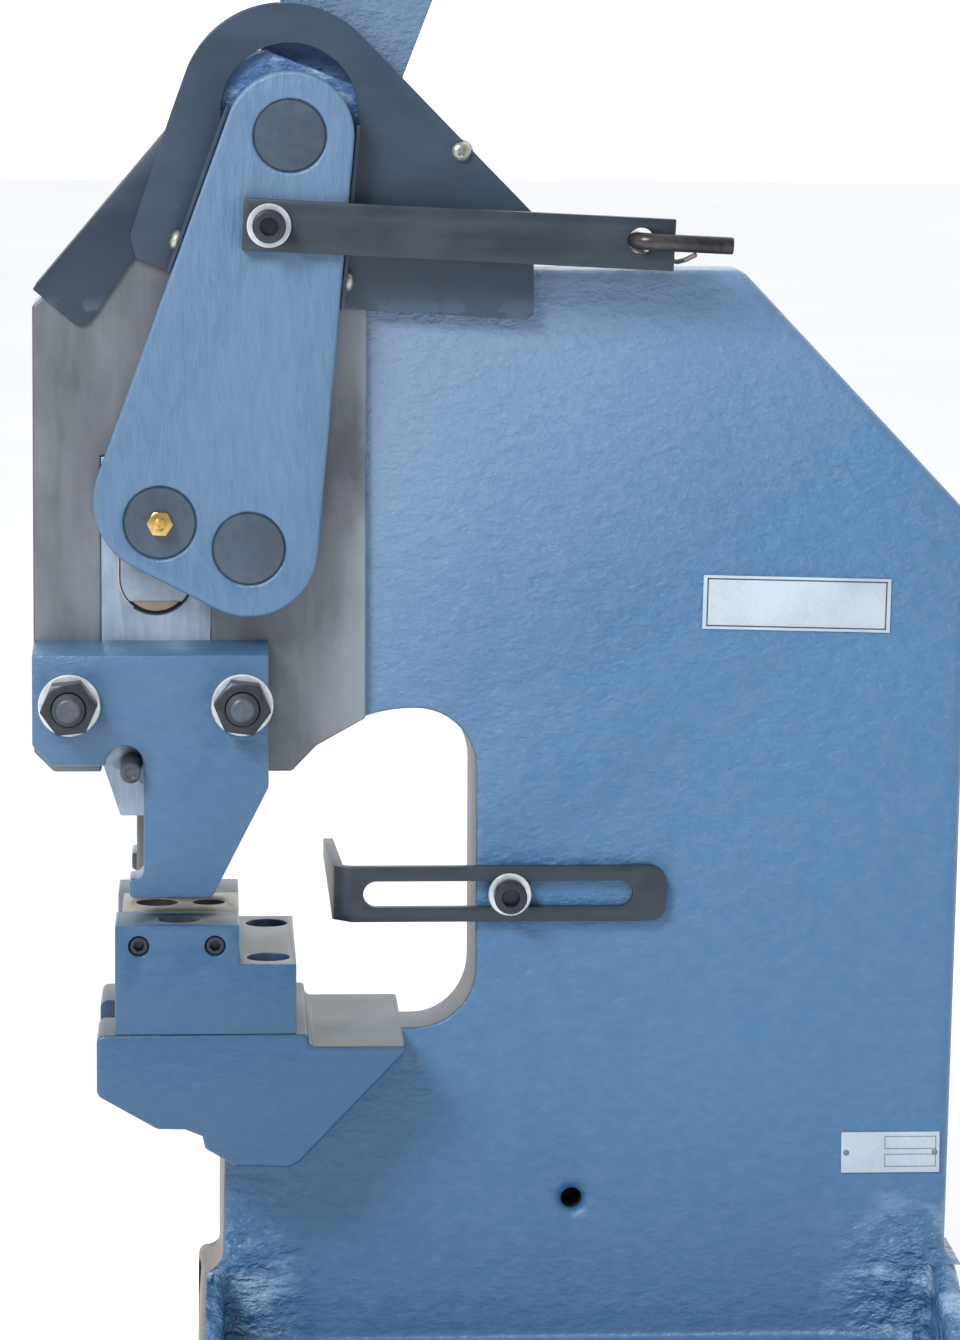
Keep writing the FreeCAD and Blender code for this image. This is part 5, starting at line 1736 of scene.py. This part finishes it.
@dataclass
class Ram(Assembly):
    """The ram, its blocks, the punch and the clamp screw."""

    axis_x: float = -208.4 * MM
    window: Span = (407.22 * MM, 437.32 * MM)
    window_radius: float = 17.6 * MM
    rim: float = 0.9 * MM
    highlight_x: float = 11 * MM
    block_face: float = 24 * MM
    pad_top: float = 395.62 * MM
    pad_relief: float = 1.3 * MM
    pad_side: float = 15 * MM

    def at_window(self, place: Vector) -> bool:
        """Whether a place lies on the wall of the ram's window.

        Args:
            place: The place to test.

        Returns:
            True for a place on the wall.
        """
        low, high = self.window
        level = min(max(place.z, low), high)
        return abs(math.hypot(place.x - self.axis_x, place.z - level) - self.window_radius) < 1.6 * MM

    def rounding(self, edge: Edge) -> float:
        """The rounding's width for an edge of the ram.

        Args:
            edge: The edge.

        Returns:
            The width, or 0 for an edge that stays sharp.
        """
        if not edge.outward:
            return 0.0
        return self.rim if self.at_window(edge.middle) else 0.5 * MM

    def relief(self, edge: Edge) -> float:
        """The width of the chamfer round the pad's face, except at its top."""
        at_face = edge.outward and edge.lies(1, self.block_face) and edge.middle.z < self.pad_top - 0.5 * MM
        return self.pad_relief if at_face else 0.0

    def on_window(self, centre: Vector, normal: Vector) -> bool:
        """Whether a face belongs to the wall of the window."""
        return self.at_window(centre) and abs(normal.y) < 0.97

    def on_bright_rim(self, centre: Vector, normal: Vector) -> bool:
        """Whether a face belongs to the part of the window's wall that gets a painted highlight."""
        return self.on_window(centre, normal) and centre.x < self.axis_x - self.highlight_x

    def on_relief(self, centre: Vector, normal: Vector) -> bool:
        """Whether a face belongs to the chamfer round the pad."""
        return abs(normal.y) < 0.97 and abs(centre.y) > self.pad_side and normal.z < 0.5

    def build(self) -> None:
        """Dresses the ram and what it holds."""
        look = self.finishes
        self.dressed("ram", Body.RAM, "machined_steel", look.ram, look.rim, look.bore,
                     rounds=[Rounding(self.rounding)],
                     # The window's wall is painted dark as painted shade, and its left part gets a painted
                     # highlight.
                     paints=[(look.bore, self.on_window), (look.rim, self.on_bright_rim)])
        self.dressed("ram_wear_pad", Body.RAM, "bronze", look.pad, look.bore,
                     # The pad's chamfer gets the dark finish as painted shade.
                     rounds=[Rounding(self.relief, 1, 5.0)], paints=[(look.bore, self.on_relief)], sharp=20)
        for node, slot, material in (("ram_pressure_block", "die_steel", look.block),
                                     ("ram_lift_shell", "bronze", look.bronze),
                                     # The punch gets the darkened bare steel as painted shade behind the
                                     # bracket.
                                     ("punch", "machined_steel", look.shaded_bare_steel)):
            self.dressed(node, Body.RAM, slot, material, rounds=[Rounding(0.3 * MM)])
        self.clamp_screw()

    def clamp_screw(self) -> None:
        """Turns the clamp screw with its cupped end."""
        low, high = (Vector(corner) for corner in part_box("punch_clamp_screw"))
        middle = (low + high) / 2
        length = high.y - low.y
        piece = turned("punch_clamp_screw_turned", [
            (0.7 * MM, 0), (0.6 * MM, 2.2 * MM), (0, 3 * MM), (0, 4.2 * MM), (0.8 * MM, 5 * MM),
            (length - MM, 5 * MM), (length, 4 * MM), (length, 0)],
            Vector((middle.x, low.y, middle.z)), FARWARD, 48)
        finish(piece, self.finishes.screw, Body.RAM, "black_oxide", "punch_clamp_screw")


@dataclass
class Stripper(Assembly):
    """The two stripper brackets with their bolts, washers and nuts."""

    bolt_x: tuple[float, float] = (-249.9 * MM, -166.6 * MM)
    bolt_z: float = 348.5 * MM
    inner_face: float = 25.2 * MM
    outer_face: float = 50 * MM
    top: float = 376.8 * MM
    top_fall: float = 4.2 * MM
    washer: Washer = field(default_factory=Washer)
    nut: HexNut = field(default_factory=HexNut)
    nut_turns: tuple[float, float] = (36.0, 23.0)
    bolt_radius: float = 7.9 * MM
    head: float = 10 * MM
    stud: float = 5 * MM
    chamfer: float = 2.8 * MM

    @property
    def nut_seat(self) -> float:
        """How far the nuts and the bolts' heads stand from the middle plane."""
        return self.outer_face + self.washer.thick

    def slope(self, place: Vector) -> Vector:
        """How far a vertex is lowered where the bracket's top slopes outwards."""
        outside = place.z > self.top - MM and abs(place.y) > self.outer_face - MM
        return Vector((0, 0, -self.top_fall if outside else 0))

    def on_inner_side(self, centre: Vector, _: Vector) -> bool:
        """Whether a face belongs to the bracket's bare inner side."""
        return abs(centre.y) < self.inner_face

    def on_bolt_side(self, centre: Vector, normal: Vector) -> bool:
        """Whether a face belongs to a bolt behind its flat near end."""
        end_y = -self.nut_seat - self.nut.height - self.stud + 0.7 * MM
        return centre.y > end_y and abs(normal.y) < 0.95

    def build(self) -> None:
        """Dresses the brackets and makes the fastenings."""
        look = self.finishes
        for node in ("stripper_bracket_near", "stripper_bracket_far"):
            # The brackets' inner sides are bare steel, darkened as painted shade.
            self.dressed(node, Body.FRAME, "blue_paint", look.blue_bracket, look.shaded_bare_steel,
                         rounds=[Rounding(0.9 * MM)], paints=[(look.shaded_bare_steel, self.on_inner_side)],
                         shift=self.slope)
        rings = join([self.washer.build(f"washer_{side.name}_{number}",
                                        Vector((x, side.value * self.outer_face, self.bolt_z)),
                                        Vector((0, side.value, 0)))
                      for number, x in enumerate(self.bolt_x) for side in Side], "stripper_washers_turned")
        finish(rings, look.zinc, Body.FRAME, "zinc", "stripper_washers")
        nuts = join([self.nut.build(f"nut_{number}", Vector((x, -self.nut_seat, self.bolt_z)), NEARWARD, turn)
                     for number, (x, turn) in enumerate(zip(self.bolt_x, self.nut_turns))],
                    "stripper_nuts_cut")
        finish(nuts, look.black, Body.FRAME, "black_oxide", "stripper_nuts")
        bolts = join([self.bolt(f"bolt_{number}", x) for number, x in enumerate(self.bolt_x)],
                     "stripper_bolts_turned")
        coat(bolts, look.bolt, look.bore)
        # The bolts' sides behind their flat ends get the dark finish as painted shade.
        paint(bolts, 1, self.on_bolt_side)
        mount(bolts, Body.FRAME, "black_oxide", "stripper_bolts")

    def bolt(self, name: str, x: float) -> Piece:
        """Makes one bolt with its hexagon head on the far side and a chamfered end on the near side.

        Args:
            name: The object's name.
            x: Its place along the machine.

        Returns:
            The bolt.
        """
        start = Vector((x, self.nut_seat, self.bolt_z))
        length = 2 * self.nut_seat + self.nut.height + self.stud
        shank = turned(f"{name}_shank", [
            (-self.head * 0.5, 0), (-self.head * 0.5, self.bolt_radius),
            (length - self.chamfer, self.bolt_radius), (length - 0.6 * MM, self.bolt_radius - 2.3 * MM),
            (length, self.bolt_radius - 3.2 * MM), (length, 0)], start, NEARWARD, 48)
        head = HexNut(self.nut.across, self.head, 2 * MM).build(f"{name}_head", start, FARWARD)
        return join([shank, head], name)


@dataclass
class DieBlock(Assembly):
    """The die holder, the die insert and their screws."""

    step_x: float = -168.1 * MM
    top: float = 242.8 * MM
    ledge: float = 223.7 * MM
    rack_x: tuple[float, float] = (-197.2 * MM, -154 * MM)
    rack_y: float = 44 * MM
    rack_reach: float = 10.6 * MM
    rack_depth: float = 19 * MM
    insert_side: float = 25.3 * MM
    dies: tuple[Span, Span] = ((-208.4 * MM, 12.6 * MM), (-183 * MM, 10.2 * MM))
    side_face: float = 63 * MM
    screw_x: tuple[float, float] = (-216.6 * MM, -179.8 * MM)
    screw_z: float = 232.7 * MM
    screw_sunk: float = 1.5 * MM
    screw_length: float = 36.4 * MM

    def on_tops(self, centre: Vector, normal: Vector) -> bool:
        """Whether a face belongs to the holder's flat tops."""
        return normal.z > 0.99 and centre.z > self.ledge - MM

    def on_high_top(self, centre: Vector, normal: Vector) -> bool:
        """Whether a face belongs to the higher of the two tops."""
        return normal.z > 0.99 and centre.z > self.top - MM

    def in_rack_hole(self, centre: Vector, _: Vector) -> bool:
        """Whether a face lies in one of the four storage holes.

        Args:
            centre: The face's centre.
            _: The face's normal, which doesn't matter here.

        Returns:
            True for such a face.
        """
        return any(math.hypot(centre.x - x, centre.y - side.value * self.rack_y) < self.rack_reach
                   and high - self.rack_depth < centre.z < high - 0.5 * MM
                   for x, high in zip(self.rack_x, (self.top, self.ledge)) for side in Side)

    def beside_insert(self, centre: Vector, _: Vector) -> bool:
        """Whether a face lies in the slot that holds the insert."""
        return abs(centre.y) < self.insert_side and centre.x < self.step_x + 0.2 * MM

    def in_die(self, centre: Vector, normal: Vector) -> bool:
        """Whether a face lies in one of the insert's two die holes."""
        return abs(normal.z) < 0.3 and any(math.hypot(centre.x - x, centre.y) < radius
                                           for x, radius in self.dies)

    def build(self) -> None:
        """Dresses the holder and its insert, and makes the set screws."""
        look = self.finishes
        self.dressed("die_holder", Body.FRAME, "blue_paint", look.blue_shaded_low, look.grey_top, look.deep_blue,
                     look.blue_top, rounds=[Rounding(0.8 * MM)], paints=[
                         (look.grey_top, self.on_tops), (look.blue_top, self.on_high_top),
                         (look.deep_blue, self.in_rack_hole), (look.grey_top, self.beside_insert)])
        self.dressed("die_insert", Body.FRAME, "die_steel", look.insert, look.bore,
                     # The die holes get the dark finish as painted shade.
                     rounds=[Rounding(0.5 * MM)], paints=[(look.bore, self.in_die)])
        self.set_screws()

    def set_screws(self) -> None:
        """Makes the two socket set screws."""
        pieces = []
        for number, x in enumerate(self.screw_x):
            start = Vector((x, self.screw_sunk - self.side_face, self.screw_z))
            screw = turned(f"set_screw_{number}", [
                (0, 0), (0, 4.1 * MM), (0.8 * MM, 4.9 * MM), (self.screw_length - MM, 4.9 * MM),
                (self.screw_length, 4 * MM), (self.screw_length, 0)], start, FARWARD, 48)
            cut_away(screw, prism("set_socket", 6, 2.9 * MM, 6 * MM, start + NEARWARD * MM, FARWARD, 15))
            smooth(screw)
            pieces.append(screw)
        piece = join(pieces, "die_screws_turned")
        finish(piece, self.finishes.black, Body.FRAME, "black_oxide", "die_screws")


@dataclass
class BackStop(Assembly):
    """The bent back stop with its screw and washer."""

    corner_x: float = -121.8 * MM
    near_y: float = -20 * MM
    bend: float = 9 * MM
    thick: float = 5 * MM
    heel_y: float = -20.3 * MM
    heel_shift: tuple[float, float, float] = (-0.3 * MM, 7.3 * MM, 0.0)
    screw_seat: tuple[float, float, float] = (-35.3 * MM, -27.6 * MM, 250.5 * MM)
    screw_length: float = 23.3 * MM

    def heel(self, place: Vector) -> Vector:
        """How far a vertex of the tab's heel is moved."""
        at_heel = place.x < self.corner_x and abs(place.y - self.heel_y) < 0.1 * MM
        return Vector(self.heel_shift) if at_heel else Vector((0, 0, 0))

    def bends(self, edge: Edge) -> float:
        """The radius of the bend at an edge, or 0 away from the bend.

        Args:
            edge: The edge.

        Returns:
            The radius, or 0 for an edge that isn't bent.
        """
        if not edge.runs(2):
            return 0.0
        if not edge.outward:
            return self.bend - self.thick
        at_corner = abs(edge.middle.x - self.corner_x) < 0.2 * MM and edge.middle.y < self.near_y
        return self.bend if at_corner else 0.0

    def on_tab(self, centre: Vector, normal: Vector) -> bool:
        """Whether a face belongs to the tab's worn front."""
        return normal.x < -0.97 and centre.x < self.corner_x + MM

    def build(self) -> None:
        """Dresses the strip and makes its fastening."""
        look = self.finishes
        self.dressed("back_stop", Body.BACK_STOP, "black_oxide", look.bar, look.tab,
                     rounds=[Rounding(self.bends, 4), Rounding(0.5 * MM, 2, 30.0)],
                     paints=[(look.tab, self.on_tab)], shift=self.heel)
        self.clamp("back_stop", Vector(self.screw_seat), self.screw_length, Body.FRAME)


@dataclass
class Plates(Assembly):
    """The two bare plates on the web, with printed frames, and the rivets."""

    name_turn: float = 1.4
    name_line: float = 0.7 * MM
    data_line: float = 0.4 * MM
    rivet_x: float = 22.1 * MM

    def build(self) -> None:
        """Makes the plates, their frames and the rivets."""
        look = self.finishes
        self.plate("name_plate", [(0.02, 0.05, 0.98, 0.95)], self.name_turn, self.name_line, look.ink)
        self.plate("data_plate", [(0.44, 0.14, 0.965, 0.46), (0.44, 0.58, 0.965, 0.9)], 0.0,
                   self.data_line, look.pale_ink)
        self.rivets()

    def plate(self, node: str, frames: list[tuple[float, float, float, float]], turn: float, line: float,
              ink: Material) -> None:
        """Makes one plate and its printed frames.

        Args:
            node: The CAD node.
            frames: Left, low, right and high of each frame, as shares of the plate.
            turn: Degrees that the plate sits out of level, clockwise from the near side.
            line: Width of the printed lines.
            ink: The finish of the printed lines.
        """
        low, high = (Vector(corner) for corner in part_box(node))
        middle = box_middle(node)
        tilt = (Matrix.Translation(middle) @ Matrix.Rotation(math.radians(turn), 4, "Y")
                @ Matrix.Translation(-middle))
        self.dressed(node, Body.FRAME, "label", self.finishes.silver, rounds=[Rounding(0.15 * MM)],
                     shift=lambda place: tilt @ place - place)
        size = high - low
        lines = []
        for left, bottom, right, top in frames:
            first = (low.x + left * size.x, low.z + bottom * size.z)
            last = (low.x + right * size.x, low.z + top * size.z)
            lines += [(first, (last[0], first[1] + line)), ((first[0], last[1] - line), last),
                      (first, (first[0] + line, last[1])), ((last[0] - line, first[1]), last)]
        bars = [block(f"{node}_line_{number}", (start[0], low.y - 0.05 * MM, start[1]),
                      (end[0], low.y + 0.1 * MM, end[1])) for number, (start, end) in enumerate(lines)]
        printed = join(bars, f"{node}_printed_frame")
        printed.data.transform(tilt)
        finish(printed, ink, Body.FRAME, "label")

    def rivets(self) -> None:
        """Turns the two domed rivets."""
        middle = box_middle("data_plate")
        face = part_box("data_plate")[0].y
        profile = [(-0.3 * MM, 0), (-0.3 * MM, 1.5 * MM), (0.1 * MM, 1.5 * MM), (0.5 * MM, 1.1 * MM),
                   (0.75 * MM, 0)]
        pieces = [turned(f"rivet_{number}", profile, Vector((middle.x + shift, face, middle.z)), NEARWARD, 24)
                  for number, shift in enumerate((-self.rivet_x, self.rivet_x))]
        piece = join(pieces, "data_plate_rivets_turned")
        finish(piece, self.finishes.pale_ink, Body.FRAME, "label", "data_plate_rivets")


@dataclass
class HiddenParts(Assembly):
    """CAD nodes inside the machine that keep their own meshes."""

    def build(self) -> None:
        """Gives each carried-over CAD node its finish; the listed slots are not used."""
        look = self.finishes
        for node, slot, material in (
                ("tooth_segment", "machined_steel", look.tool), ("segment_pins", "machined_steel", look.tool),
                ("pivot_bush", "bronze", look.bronze), ("die_holder_screws", "black_oxide", look.black)):
            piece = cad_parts[node]
            coat(piece, material)
            LOG.info("%s: carried over", node)


@dataclass(frozen=True)
class Lamp:
    """A round lamp.

    Args:
        name: Its name.
        place: Where it hangs.
        size: Its diameter.
        power: Its power in watts.
    """

    name: str
    place: tuple[float, float, float]
    size: float
    power: float

    def build(self, aim: Vector) -> None:
        """Hangs the lamp, turned to a point.

        Args:
            aim: The point.
        """
        lamp = bpy.data.lights.new(self.name, "AREA")
        lamp.shape = "DISK"
        lamp.size = self.size
        lamp.energy = self.power
        holder = bpy.data.objects.new(self.name, lamp)
        bpy.context.scene.collection.objects.link(holder)
        holder.location = self.place
        holder.rotation_euler = (aim - Vector(self.place)).to_track_quat("-Z", "Y").to_euler()


@dataclass
class Studio:
    """The floor, the lights and the camera."""

    lamps: tuple[Lamp, ...] = (Lamp("key_light", (-1.5, -1.9, 2.2), 1.1, 74.0),
                               Lamp("fill_light", (2.4, -2.2, 1.4), 2.4, 6.0),
                               Lamp("back_light", (0.6, 2.6, 2.4), 2.0, 8.0))
    aim: tuple[float, float, float] = (-0.03, 0, 0.38)
    floor_radius: float = 14.0
    front_sky: float = 0.5
    back_sky: float = 1.4
    sky_turn: Span = (-0.7, 0.6)
    place: tuple[float, float, float] = (-0.1789, -2.4717, 0.7055)
    yaw: float = 2.997
    pitch: float = -5.867
    roll: float = 0.258
    lens: float = 135.89
    sensor: float = 36.0
    shift_y: float = -0.14
    sight: float = 60.0

    def build(self) -> None:
        """Sets the stage."""
        self.floor()
        self.lights()
        self.camera()

    def floor(self) -> None:
        """Lays a wide pale floor."""
        bpy.ops.object.select_all(action="DESELECT")
        bpy.ops.mesh.primitive_circle_add(vertices=96, radius=self.floor_radius, fill_type="NGON")
        piece = bpy.context.object
        piece.name = "studio_floor"
        shader = Shader("pale_floor")
        patches = shader.spread(shader.noise(1.3, 3.0), 0.3, 0.7)
        tone = shader.blend(patches, srgb(246, 247, 248), srgb(250, 250, 251))
        coat(piece, shader.close(tone, 0.7, 0.0))

    def lights(self) -> None:
        """Hangs soft lights round the machine, under a sky that is dimmer in front of it."""
        world = bpy.data.worlds.new("soft_sky")
        bpy.context.scene.world = world
        world.use_nodes = True
        nodes, links = world.node_tree.nodes, world.node_tree.links
        sky = nodes["Background"]
        sky.inputs["Color"].default_value = (0.97, 0.985, 1.0, 1.0)
        parts = nodes.new("ShaderNodeSeparateXYZ")
        links.new(nodes.new("ShaderNodeTexCoord").outputs["Generated"], parts.inputs[0])
        dusk = nodes.new("ShaderNodeMapRange")
        set_range(dusk, self.sky_turn, (self.front_sky, self.back_sky))
        links.new(parts.outputs["Y"], dusk.inputs["Value"])
        links.new(dusk.outputs["Result"], sky.inputs["Strength"])
        for lamp in self.lamps:
            lamp.build(Vector(self.aim))

    def camera(self) -> None:
        """Places the camera at the front, a little above the machine's middle."""
        yaw, pitch, roll = (math.radians(angle) for angle in (self.yaw, self.pitch, self.roll))
        forward = Vector((math.sin(yaw) * math.cos(pitch), math.cos(yaw) * math.cos(pitch), math.sin(pitch)))
        right = Vector((math.cos(yaw), -math.sin(yaw), 0.0))
        up = right.cross(forward)
        across = right * math.cos(roll) + up * math.sin(roll)
        upright = up * math.cos(roll) - right * math.sin(roll)
        lens = bpy.data.cameras.new("front_camera")
        lens.lens = self.lens
        lens.sensor_width = self.sensor
        lens.shift_y = self.shift_y
        lens.clip_end = self.sight
        camera = bpy.data.objects.new("front_camera", lens)
        bpy.context.scene.collection.objects.link(camera)
        turn = Matrix((across, upright, -forward)).transposed().to_4x4()
        camera.matrix_world = Matrix.Translation(Vector(self.place)) @ turn
        bpy.context.scene.camera = camera


def write_sizes() -> None:
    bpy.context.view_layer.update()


def main() -> None:
    """Dresses the machine, one sub-assembly after the other, and sets the stage."""
    logging.basicConfig(level=logging.INFO, format="%(name)s %(message)s")
    finishes = Finishes()
    for kind in (FrameCasting, Rocker, Guards, LeverArm, LockBar, Ram, Stripper, DieBlock, BackStop, Plates,
                 HiddenParts):
        kind(finishes).build()
        LOG.info("%s done", kind.__name__)
    write_sizes()
    Studio().build()
    bpy.context.scene.view_settings.view_transform = "Standard"


if __name__ == "__main__":
    main()
